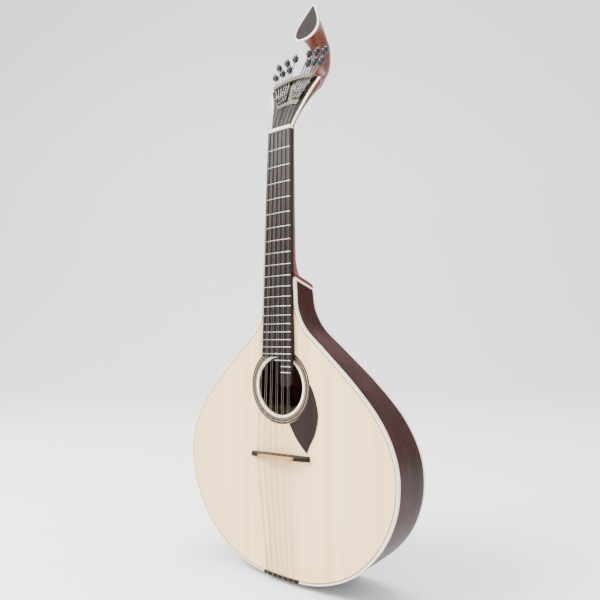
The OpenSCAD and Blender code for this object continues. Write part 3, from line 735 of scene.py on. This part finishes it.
def section_ring(kind):
    """Closed outline [across, depth] from 0 to 1 of one section of the neck.

    From kind -1 to 0 it is a flat front and the curve (cos a)^p, (sin a)^p with p from 1/4 to 1, which
    is square and then elliptical. From 0 to 1 it turns into a full ellipse, and from 1 to 2 into a
    teardrop, the ellipse with its width times 1.46 - 1.2 of its depth.
    """
    i = np.arange(SECTION_HALF + 1)
    flat = SECTION_HALF // 4
    a = np.pi / 2 * np.clip(i - flat, 0, None) / (SECTION_HALF - flat)
    power = 1 + 0.75 * min(kind, 0.0)
    across = np.where(i <= flat, i / flat, np.clip(np.cos(a), 0, 1) ** power)
    across[-1] = 0.0
    front = np.stack([across, np.sin(a) ** power], 1)
    b = np.pi * i / SECTION_HALF
    oval = np.stack([np.sin(b), (1 - np.cos(b)) / 2], 1)
    tear = np.stack([oval[:, 0] * (1.46 - 1.2 * oval[:, 1]), oval[:, 1]], 1)
    if kind <= 0:
        half = front
    elif kind <= 1:
        half = (1 - kind) * front + kind * oval
    else:
        half = (2 - min(kind, 2)) * oval + (min(kind, 2) - 1) * tear
    return np.vstack([half, half[-2:0:-1] * (-1, 1)])


def neck_shell(sizes):
    """Sections between a front line and a back line, lofted from the heel to the finial.

    The back, width and kind follow Catmull-Rom curves. The front is straight between the stations up
    to the top of the head, where the board, nut and veneer lie on it, and curved above that.
    """
    s, c = np.sin(sizes.head_lean), np.cos(sizes.head_lean)
    head = [
        (
            sizes.head_y + up * s + VENEER * c, up * c - VENEER * s,
            sizes.head_y + (up + shift) * s + (VENEER + thick) * c,
            (up + shift) * c - (VENEER + thick) * s, half, 0,
        )
        for up, thick, shift, half in HEAD_STATIONS
    ]
    lean = np.arctan2(*(FINIAL_TIP - FINIAL_LIP))
    behind = FINIAL_THICK * np.array([np.cos(lean), -np.sin(lean)])
    face = [(*(FINIAL_LIP + behind), *(FINIAL_TIP + behind), FINIAL_HALF, 2)]
    lower = HEEL_STATIONS + NECK_STATIONS + head
    whole = np.array(lower + STEM_STATIONS + face, float)
    stations = curve_through(whole, NECK_STEPS)
    count = NECK_STEPS * (len(lower) - 1) + 1
    stations[:count, :2] = straight_through(whole, NECK_STEPS)[:count, :2]
    rings = []
    for y0, z0, y1, z1, half, kind in stations:
        e = section_ring(kind)
        rings.append(np.stack([half * e[:, 0], y0 + (y1 - y0) * e[:, 1], z0 + (z1 - z0) * e[:, 1]], 1))
    return surface(np.stack(rings))


def tear_ring(half, size, start, out):
    """Teardrop outline on the finial's face, from its lip at start up to start + size, out in front of it."""
    e = section_ring(2)
    lean = np.arctan2(*(FINIAL_TIP - FINIAL_LIP))
    up = start + size * e[:, 1]
    y = FINIAL_LIP[0] + up * np.sin(lean) + (FINIAL_THICK - out) * np.cos(lean)
    z = FINIAL_LIP[1] + up * np.cos(lean) - (FINIAL_THICK - out) * np.sin(lean)
    return np.stack([half * e[:, 0], y, z], 1)


def build_neck(sizes):
    """The neck with its head, and the finial's rim and panel."""
    make_piece(
        "neck_and_head", neck_shell(sizes), FINISH["mahogany"], replaced=["neck"], crease=35
    )
    size = np.linalg.norm(FINIAL_TIP - FINIAL_LIP)
    edge, inner = FINIAL_EDGE, size - 2.6 * FINIAL_EDGE
    ring = [
        tear_ring(FINIAL_HALF, size, 0, 0.0), tear_ring(FINIAL_HALF, size, 0, FINIAL_THICK - 0.7),
        tear_ring(FINIAL_HALF - 0.25, size - 0.5, 0.25, FINIAL_THICK - 0.2),
        tear_ring(FINIAL_HALF - 0.8, size - 1.7, 0.8, FINIAL_THICK),
        tear_ring(FINIAL_HALF - edge, inner, edge, FINIAL_THICK),
        tear_ring(FINIAL_HALF - edge, inner, edge, 0.0),
    ]
    shell = surface(np.stack(ring), wrap_rows=True, caps=False)
    make_piece("finial_rim", shell, FINISH["ivory"], replaced=["finial_binding"], crease=50)
    plate = [tear_ring(FINIAL_HALF - edge, inner, edge, h) for h in (0.0, FINIAL_THICK - 0.1)]
    middle = plate[-1].mean(0)
    plate += [middle + (plate[1] - middle) * share for share in (0.92, 0.6, 0.25, 0.02)]
    make_piece(
        "finial_panel", surface(np.stack(plate)), FINISH["veneer"],
        replaced=["finial_face"], crease=50,
    )


# ---------- frets and nut ----------


def crest_y(sizes, x, z):
    """Depth of the board's playing surface: a sloping line with a circular arch across it."""
    arch = sizes.board_radius - np.sqrt(sizes.board_radius**2 - x**2)
    return sizes.board_y + sizes.board_slope * z + arch


def fret_shell(sizes, number, low, high):
    """A half-oval bead across the board: it follows the arch, and its last millimetre rounds down."""
    z0 = -sizes.scale * (1 - 2 ** (-number / 12))
    x = low + (high - low) * (1 - np.cos(np.linspace(0, np.pi, 61))) / 2
    to_end = np.clip(np.minimum(x - low, high - x) / 1.0, 0, 1)
    swell = np.sqrt(1 - (1 - to_end) ** 2) * 0.85 + 0.15
    a = np.linspace(0, np.pi, 11)
    half = sizes.fret_width / 2
    across = np.concatenate([half * np.cos(a), [-half, half]])
    height = np.concatenate([sizes.fret_height * np.sin(a), [-0.15, -0.15]])
    z = z0 + across[None] * (0.4 + 0.6 * swell[:, None])
    y = crest_y(sizes, x, z0)[:, None] - np.where(height > 0, height * swell[:, None], height)
    return surface(np.stack([np.broadcast_to(x[:, None], z.shape), y, z], 2))


def build_frets(sizes):
    """Nineteen full frets and three short ones on the board's tongue."""
    full, inset = 19, 1.0
    tongue = {20: -3.0, 21: 8.0, 22: 8.0}
    shells = []
    for number in range(1, 23):
        z = -sizes.scale * (1 - 2 ** (-number / 12))
        t = min(z / sizes.board_end, 1.0)
        half = sizes.half_nut + (sizes.half_end - sizes.half_nut) * t - inset
        low = -half if number <= full else tongue[number] + 0.5
        shells.append(fret_shell(sizes, number, low, half - (0.6 if number > full else 0)))
    make_piece("fret_wires", joined(shells), FINISH["fret_wire"], replaced=["frets"], crease=60)


def string_across(index, gap, pair):
    """Place across the instrument of string 0 to 11 in six pairs."""
    return (index // 2 - 2.5) * gap + (index % 2 - 0.5) * pair


NUT_RISE = 1.9  # how far the nut's crest stands out of the board's crest


def notches(x, places, width, depth):
    """Depth of a row of round-bottomed grooves at places."""
    gap = np.abs(x[:, None] - np.asarray(places)[None]).min(1)
    return depth * np.sqrt(np.clip(1 - (gap / width) ** 2, 0, 1))


def build_nut(sizes, strings):
    """A bone bar with an arched top, rounded edges and a groove under each string."""
    half = sizes.half_nut + 0.2
    x = np.linspace(-half, half, 561)
    places = [string_across(i, strings.gap_nut, strings.pair_nut) for i in range(STRING_COUNT)]
    crest = sizes.board_y - NUT_RISE
    top = crest + x**2 / (2 * sizes.board_radius) + notches(x, places, 0.42, 0.42)
    end = np.clip((half - np.abs(x)) / 0.8, 0, 1)
    top = top + 0.8 * (1 - np.sqrt(1 - (1 - end) ** 2))
    base = sizes.board_y + 5.8
    a = np.linspace(0, np.pi / 2, 5)
    r, span = 0.7, sizes.nut_length
    z = np.concatenate([[0.02], r * (1 - np.cos(a)), span - r * (1 - np.cos(a[::-1])), [span]])
    drop = np.concatenate([[None], r * (1 - np.sin(a)), r * (1 - np.sin(a[::-1])), [None]])
    rows = [top + d if d is not None else np.full_like(top, base) for d in drop]
    points = np.stack([np.stack([x, y, np.full_like(x, height)], 1) for y, height in zip(rows, z)], 1)
    make_piece("nut_bone", surface(points), FINISH["bone"], replaced=["nut"], crease=50)


# ---------- bridge ----------


def on_bridge(strings, points):
    """Bridge coordinates, x along it, y out of the board and z up, to the slanted place on the soundboard."""
    a = np.radians(strings.bridge_tilt)
    x, y, z = points[..., 0], points[..., 1], points[..., 2]
    return np.stack([x * np.cos(a) - z * np.sin(a), y, strings.bridge_z + x * np.sin(a) + z * np.cos(a)], -1)


def build_bridge(strings):
    """The dark foot, lower towards its ends, and the notched bone on top of it."""
    half, bone = 50.5, 29.5
    x = np.linspace(-half, half, 241)
    height = np.interp(np.abs(x), [0, bone, 40, half], [8.5, 8.5, 7.0, 4.5])
    end = np.clip((half - np.abs(x)) / 1.5, 0, 1)
    height = height - 1.0 * (1 - np.sqrt(1 - (1 - end) ** 2))
    a = np.linspace(0, np.pi, 13)
    foot, waist = 3.8, 2.7
    across = np.concatenate([[foot], waist * np.cos(a), [-foot]])
    share = np.concatenate([[0.0], 0.86 + 0.14 * np.sin(a), [0.0]])
    y = -height[:, None] * share[None]
    points = np.stack([np.broadcast_to(x[:, None], y.shape), y, np.broadcast_to(across[None], y.shape)], 2)
    make_piece("bridge_foot", surface(on_bridge(strings, points)), FINISH["ebony"],
               replaced=["bridge_base"], crease=50)
    x = np.linspace(-bone, bone, 721)
    slant = np.radians(strings.bridge_tilt)
    along = [string_across(i, strings.gap_bridge, strings.pair_bridge) for i in range(STRING_COUNT)]
    places = np.array(along) / np.cos(slant)
    drop = 0.9 * np.clip((np.abs(x) - 28.3) / 1.2, 0, 1)
    top = strings.bridge_h - 0.2 - notches(x, places, 0.45, 0.35) - drop
    across = np.concatenate([[2.4], 1.7 * np.cos(a), [-2.4]])
    share = np.sin(a)
    low = 8.4
    rows = [np.full_like(x, low)] + [top - 0.9 * (1 - k) for k in share] + [np.full_like(x, low)]
    points = np.stack([np.stack([x, -r, np.full_like(x, w)], 1) for r, w in zip(rows, across)], 1)
    make_piece("bridge_bone_top", surface(on_bridge(strings, points)), FINISH["aged_bone"],
               replaced=["bridge_bone"], crease=50)


# ---------- fan tuner ----------


def fan_angle(tuner, k):
    """Angle of screw 1 to 12 from the middle of the fan, in radians."""
    side = -(tuner.first + (6 - k) * tuner.step) if k <= 6 else tuner.first + (k - 7) * tuner.step
    return np.radians(side)


def is_long(k):
    return (6 - k) % 2 == 0 if k <= 6 else (k - 7) % 2 == 0


def on_head(neck, points):
    """Head coordinates, x across, y behind its face and z up it, to the design's frame."""
    s, c = np.sin(neck.head_lean), np.cos(neck.head_lean)
    x, y, z = points[..., 0], points[..., 1], points[..., 2]
    return np.stack([x, neck.head_y + y * c + z * s, z * c - y * s], -1)


def on_screw(neck, tuner, k):
    """Maps points about screw k's axis, with +Z along it, to the design's frame."""
    a = fan_angle(tuner, k)

    def place(points):
        x, y, z = points[..., 0], points[..., 1], points[..., 2]
        across, up = x * np.cos(a) + z * np.sin(a), z * np.cos(a) - x * np.sin(a)
        return on_head(neck, np.stack([across, y - tuner.rod_out, up], -1))

    return place


def thread_shell(tuner, start, end, place):
    """Right-hand thread: the radius is a cosine wave of z / pitch less the angle's share of a turn."""
    sides, per_turn = 20, 7
    z = np.linspace(start, end, int((end - start) / tuner.pitch * per_turn))
    a = 2 * np.pi * np.arange(sides) / sides
    wave = np.cos(2 * np.pi * (z[:, None] / tuner.pitch) - a[None])
    fade = np.clip(np.minimum(z - start, end - z) / tuner.pitch, 0, 1)[:, None]
    r = tuner.rod_radius - tuner.thread_depth * (0.5 - 0.5 * wave) * fade - 0.25 * (1 - fade)
    points = np.stack([r * np.cos(a), r * np.sin(a), np.broadcast_to(z[:, None], r.shape)], 2)
    return surface(place(points))


KNOB_PROFILE = [
    (0.9, -8.6), (1.7, -8.5), (2.0, -8.2), (2.0, -6.7), (1.75, -6.4), (1.75, -6.1), (2.4, -5.8), (2.7, -5.4),
    (2.6, -5.0), (3.2, -4.6), (4.0, -3.8), (4.5, -2.6), (4.7, -1.2), (4.7, 0.2), (4.55, 1.6), (4.15, 2.9),
    (3.5, 4.0), (2.7, 4.8), (1.9, 5.3), (1.3, 5.6), (1.05, 6.0), (1.1, 6.5), (1.5, 6.9), (1.72, 7.5),
    (1.65, 8.2), (1.3, 8.8), (0.7, 9.2), (0.15, 9.3),
]


def collar(radius, low, high):
    """Profile of a round collar with small chamfers."""
    cut = 0.25
    return [
        (1.0, low), (radius - cut, low), (radius, low + cut), (radius, high - cut),
        (radius - cut, high), (1.0, high),
    ]


def build_screws(neck, tuner):
    """Each screw's threaded rod with its two collars, and its knob."""
    for k in range(1, STRING_COUNT + 1):
        place = on_screw(neck, tuner, k)
        reach = tuner.long if is_long(k) else tuner.short
        plain = [
            (0.6, tuner.bar_in - 2), (tuner.rod_radius, tuner.bar_in - 1.9),
            (tuner.rod_radius, reach - 8), (0.6, reach - 7.9),
        ]
        knob = [(r, reach + h) for r, h in KNOB_PROFILE]
        rod = [
            thread_shell(tuner, tuner.rod_start, tuner.bar_in - 1.6, place),
            lathe(plain, 28, place),
            lathe(collar(2.0, tuner.bar_in - 1.5, tuner.bar_in - 0.12), 32, place),
            lathe(collar(2.0, tuner.fan + 0.12, tuner.fan + 1.7), 32, place),
        ]
        pieces = (("rod", joined(rod), "rod"), ("knob", lathe(knob, 48, place), "dark_chrome"))
        for name, shell, finish in pieces:
            make_piece(
                f"tuner_{name}_{k}", shell, FINISH[finish],
                body=f"screw_{k}", replaced=[f"tuning_screw_{k}"], crease=38,
            )


def rounded_block(half_x, low_y, high_y, half_z, place):
    """A block whose cross-section is a superellipse of the fourth power, drawn in at both ends."""
    a = 2 * np.pi * np.arange(48) / 48
    bend = 0.4
    ring_x = np.sign(np.cos(a)) * np.abs(np.cos(a)) ** bend
    ring_y = np.sign(np.sin(a)) * np.abs(np.sin(a)) ** bend
    z = np.array([-half_z, -half_z + 0.15, -half_z + 0.45, half_z - 0.45, half_z - 0.15, half_z])
    size = np.array([0.84, 0.95, 1.0, 1.0, 0.95, 0.84])
    middle, half_y = (low_y + high_y) / 2, (high_y - low_y) / 2
    points = np.stack(
        [
            half_x * size[:, None] * ring_x, middle + half_y * size[:, None] * ring_y,
            np.broadcast_to(z[:, None], (len(z), len(a))),
        ],
        2,
    )
    return surface(place(points))


HOOK_PIN = [
    (0.5, 1.9), (0.8, 2.0), (0.72, 3.2), (0.72, 4.1), (1.05, 4.35), (1.2, 4.6), (1.15, 4.95),
    (0.7, 5.18), (0.1, 5.2),
]
PIN_OUT = 3.3  # height of a string's loop on the pin, from the rod's axis


def build_hooks(neck, tuner):
    """Each hook's block on its rod, with the pin that stands out of it."""
    for k in range(1, STRING_COUNT + 1):
        place = on_screw(neck, tuner, k)
        at = tuner.hook_high if is_long(k) else tuner.hook_low

        def block_place(points, place=place, at=at):
            return place(points + (0.0, 0.0, at))

        def pin_place(points, place=place, at=at):
            x, y, z = points[..., 0], points[..., 1], points[..., 2]
            return place(np.stack([x, -z, y + at], -1))

        shells = [rounded_block(1.45, -2.2, 1.8, 2.5, block_place), lathe(HOOK_PIN, 24, pin_place)]
        make_piece(
            f"string_hook_{k}", joined(shells), FINISH["hooks"],
            body=f"carriage_{k}", replaced=[f"hook_{k}"], crease=38,
        )


# ---------- strings ----------


def string_route(index, neck, tuner, strings):
    """Points of string 0 to 11 from its pin at the tail, over the bridge and nut, to its hook."""
    tail, saddle = TAIL_POINT[1], 1.6
    x_tail = string_across(index, strings.gap_tail, strings.pair_tail)
    x_bridge = string_across(index, strings.gap_bridge, strings.pair_bridge)
    x_nut = string_across(index, strings.gap_nut, strings.pair_nut)
    rise = x_tail**2 / 900
    slant = np.tan(np.radians(strings.bridge_tilt)) * x_bridge
    nut_y = neck.board_y - NUT_RISE + x_nut**2 / (2 * neck.board_radius) - 0.1
    k = index + 1
    at = tuner.hook_high if is_long(k) else tuner.hook_low
    hook_end = on_screw(neck, tuner, k)(np.array([[0.0, -PIN_OUT, at - 1.15]]))[0]
    return [
        (x_tail, 15.8, tail - 4.0),
        (x_tail, 1.0, tail - 0.55 + rise),
        (x_tail, -saddle - 0.37, tail - 0.15 + rise),
        (x_tail, -saddle - 0.4, tail + 1.5 + rise),
        (x_bridge, -strings.bridge_h, strings.bridge_z - 1.2 + slant),
        (x_bridge, -strings.bridge_h, strings.bridge_z + 1.2 + slant),
        (x_nut, nut_y, 0.4),
        (x_nut, nut_y, neck.nut_length - 0.4),
        tuple(hook_end),
    ]


def string_radius(index, strings):
    """From thick on the bass side to thin on the treble side."""
    return strings.thick + (strings.thin - strings.thick) * (index // 2) / 5


def loop_shell(place, at, radius):
    """A ring of wire round the hook's pin, as a circle carried round a circle."""
    a = 2 * np.pi * np.arange(28) / 28
    b = 2 * np.pi * np.arange(8) / 8
    big = 0.74 + radius
    r = big + radius * np.cos(b)
    out = np.broadcast_to(radius * np.sin(b) - PIN_OUT, (len(a), len(b)))
    points = np.stack([r * np.sin(a)[:, None], out, at + r * np.cos(a)[:, None]], 2)
    return surface(place(points), wrap_rows=True, caps=False)


def twist_shell(start, end, radius, turns=5):
    """A helix wound on the string's last millimetres."""
    start, end = np.asarray(start, float), np.asarray(end, float)
    t = np.linspace(0, 1, turns * 12 + 1)
    d = (end - start) / np.linalg.norm(end - start)
    across = np.cross(d, (1.0, 0.0, 0.0))
    across /= np.linalg.norm(across)
    over = np.cross(across, d)
    a = 2 * np.pi * turns * t
    wind = np.cos(a)[:, None] * across + np.sin(a)[:, None] * over
    path = start + (end - start) * t[:, None] + 1.9 * radius * wind
    return tube(path, 0.75 * radius, 6)


def build_strings(neck, tuner, strings):
    """Each string with its loop and twist, laid over the bridge and nut and ending at its hook."""
    for index in range(STRING_COUNT):
        k = index + 1
        radius = string_radius(index, strings)
        route = string_route(index, neck, tuner, strings)
        place = on_screw(neck, tuner, k)
        at = tuner.hook_high if is_long(k) else tuner.hook_low
        nut, hook = np.array(route[-2]), np.array(route[-1])
        way = (hook - nut) / np.linalg.norm(hook - nut)
        shells = [
            tube(rounded_route(route, 0.6), radius),
            loop_shell(place, at, radius),
            twist_shell(hook - 5.0 * way, hook - 0.4 * way, radius),
        ]
        finish = FINISH["wound_wire" if index < 8 else "plain_wire"]
        piece = make_piece(
            f"string_{k}", joined(shells), finish, body=None, replaced=["strings"], crease=70
        )
        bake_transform(piece)


# ---------- stage ----------


def build_stage(stage):
    """Camera, a pale floor that curves up behind, a bright sky and three soft lights."""
    scene = bpy.context.scene
    c, s = np.cos(stage.roll), np.sin(stage.roll)
    az, pitch = stage.azimuth, stage.pitch
    ahead = np.array([-np.sin(az) * np.cos(pitch), np.cos(az) * np.cos(pitch), np.sin(pitch)])
    right = np.array([np.cos(az), np.sin(az), 0.0])
    up = np.cross(right, ahead)
    right, up = c * right + s * up, -s * right + c * up
    camera = bpy.data.objects.new("Camera", bpy.data.cameras.new("Camera"))
    scene.collection.objects.link(camera)
    camera.data.lens = stage.lens
    camera.data.sensor_width = 36.0
    camera.data.clip_start = 0.01
    turn = Matrix((right, up, -ahead)).transposed().to_4x4()
    eye = np.array(stage.eye) + (0.0, FACE_Y * MM, 0.0)
    camera.matrix_world = Matrix.Translation(eye) @ turn
    scene.camera = camera

    low = CAD_BOX[0][2] - 0.0005
    across = np.linspace(-6, 6, 2)
    a = np.linspace(0, np.pi / 2, 24)
    bend = 1.5
    deep = np.concatenate([[-5.0], 2.2 + bend * np.sin(a), [2.2 + bend]])
    high = np.concatenate([[low], low + bend * (1 - np.cos(a)), [low + 5.0]])
    points = np.stack([np.stack([np.full_like(deep, x), deep, high], 1) for x in across], 1)
    quads = grid_faces(len(deep), 2, False, False)[:, ::-1]
    mesh = bpy.data.meshes.new("floor")
    to_camera = np.array([[np.cos(az), np.sin(az), 0], [-np.sin(az), np.cos(az), 0], [0, 0, 1]])
    turned = points.reshape(-1, 3) @ to_camera
    mesh.from_pydata(turned.tolist(), [], quads.tolist())
    mesh.shade_smooth()
    floor = bpy.data.objects.new("floor", mesh)
    scene.collection.objects.link(floor)
    n = Nodes("Pale floor")
    mesh.materials.append(n.finish(tuple(stage.floor), 0.9, specular=0.0))

    world = bpy.data.worlds.new("Sky")
    scene.world = world
    world.use_nodes = True
    world.node_tree.nodes["Background"].inputs["Color"].default_value = (1, 1, 1, 1)
    world.node_tree.nodes["Background"].inputs["Strength"].default_value = 1.5
    lights = (
        ("key_light", (-1.2, -1.6, 1.5), 185.0, 1.4),
        ("fill_light", (1.9, -1.5, 0.5), 14.0, 1.6),
        ("top_light", (0.1, 0.2, 2.2), 80.0, 1.8),
    )
    for name, place, power, size in lights:
        light = bpy.data.objects.new(name, bpy.data.lights.new(name, "AREA"))
        light.data.energy = power
        light.data.size = size
        light.location = place
        aim = np.array([0.0, 0.0, -0.25]) - place
        light.rotation_euler = (
            np.arctan2(np.hypot(aim[0], aim[1]), -aim[2]), 0.0, np.arctan2(aim[1], aim[0]) - np.pi / 2
        )
        scene.collection.objects.link(light)


# ---------- operators ----------


class BuildFinishes(bpy.types.Operator):
    """Make every finish and put the wood, ivory and metal ones on the kept parts"""

    bl_idname = "pear_guitar.finishes"
    bl_label = "Finishes"

    def execute(self, context):
        make_finishes(context.scene.pear_finishes)
        for node, finish in CAD_FINISH.items():
            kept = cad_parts[node]
            kept.data.materials.clear()
            kept.data.materials.append(FINISH[finish])
        return {"FINISHED"}


class BuildRim(bpy.types.Operator):
    """Build the sides, bindings and purfling round the body"""

    bl_idname = "pear_guitar.rim"
    bl_label = "Body rim"

    def execute(self, context):
        build_rim(context.scene.pear_body)
        return {"FINISHED"}


class BuildNeck(bpy.types.Operator):
    """Build the neck, the head and the teardrop finial"""

    bl_idname = "pear_guitar.neck"
    bl_label = "Neck and head"

    def execute(self, context):
        build_neck(context.scene.pear_neck)
        return {"FINISHED"}


class BuildFrets(bpy.types.Operator):
    """Build the twenty-two fret wires"""

    bl_idname = "pear_guitar.frets"
    bl_label = "Frets"

    def execute(self, context):
        build_frets(context.scene.pear_neck)
        return {"FINISHED"}


class BuildNut(bpy.types.Operator):
    """Build the grooved nut"""

    bl_idname = "pear_guitar.nut"
    bl_label = "Nut"

    def execute(self, context):
        build_nut(context.scene.pear_neck, context.scene.pear_strings)
        return {"FINISHED"}


class BuildBridge(bpy.types.Operator):
    """Build the bridge's foot and its bone"""

    bl_idname = "pear_guitar.bridge"
    bl_label = "Bridge"

    def execute(self, context):
        build_bridge(context.scene.pear_strings)
        return {"FINISHED"}


class BuildTuner(bpy.types.Operator):
    """Build the threaded screws with their knobs, and the hooks"""

    bl_idname = "pear_guitar.tuner"
    bl_label = "Fan tuner"

    def execute(self, context):
        scene = context.scene
        build_screws(scene.pear_neck, scene.pear_tuner)
        build_hooks(scene.pear_neck, scene.pear_tuner)
        return {"FINISHED"}


class BuildStrings(bpy.types.Operator):
    """Build the twelve strings and their loops"""

    bl_idname = "pear_guitar.strings"
    bl_label = "Strings"

    def execute(self, context):
        scene = context.scene
        build_strings(scene.pear_neck, scene.pear_tuner, scene.pear_strings)
        return {"FINISHED"}


class BuildStage(bpy.types.Operator):
    """Set the camera, floor and lights"""

    bl_idname = "pear_guitar.stage"
    bl_label = "Stage"

    def execute(self, context):
        build_stage(context.scene.pear_stage)
        return {"FINISHED"}


class PearGuitarPanel(bpy.types.Panel):
    """Buttons for each group of pieces"""

    bl_idname = "VIEW3D_PT_pear_guitar"
    bl_label = "Pear Guitar"
    bl_space_type = "VIEW_3D"
    bl_region_type = "UI"
    bl_category = "Pear Guitar"

    def draw(self, context):
        for operator in OPERATORS:
            self.layout.operator(operator.bl_idname)


GROUPS = {
    "pear_body": BodySizes, "pear_neck": NeckSizes, "pear_tuner": TunerSizes, "pear_strings": StringSizes,
    "pear_finishes": Finishes, "pear_stage": StageSizes,
}
OPERATORS = (
    BuildStage, BuildFinishes, BuildRim, BuildNeck, BuildFrets, BuildNut, BuildBridge, BuildTuner,
    BuildStrings,
)


def register():
    for group in GROUPS.values():
        bpy.utils.register_class(group)
    for name, group in GROUPS.items():
        setattr(bpy.types.Scene, name, bpy.props.PointerProperty(type=group))
    for operator in OPERATORS:
        bpy.utils.register_class(operator)
    bpy.utils.register_class(PearGuitarPanel)


def unregister():
    bpy.utils.unregister_class(PearGuitarPanel)
    for operator in reversed(OPERATORS):
        bpy.utils.unregister_class(operator)
    for name, group in GROUPS.items():
        delattr(bpy.types.Scene, name)
        bpy.utils.unregister_class(group)


def main():
    """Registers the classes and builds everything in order."""
    register()
    for operator in OPERATORS:
        group, name = operator.bl_idname.split(".")
        getattr(getattr(bpy.ops, group), name)()


if __name__ == "__main__":
    main()
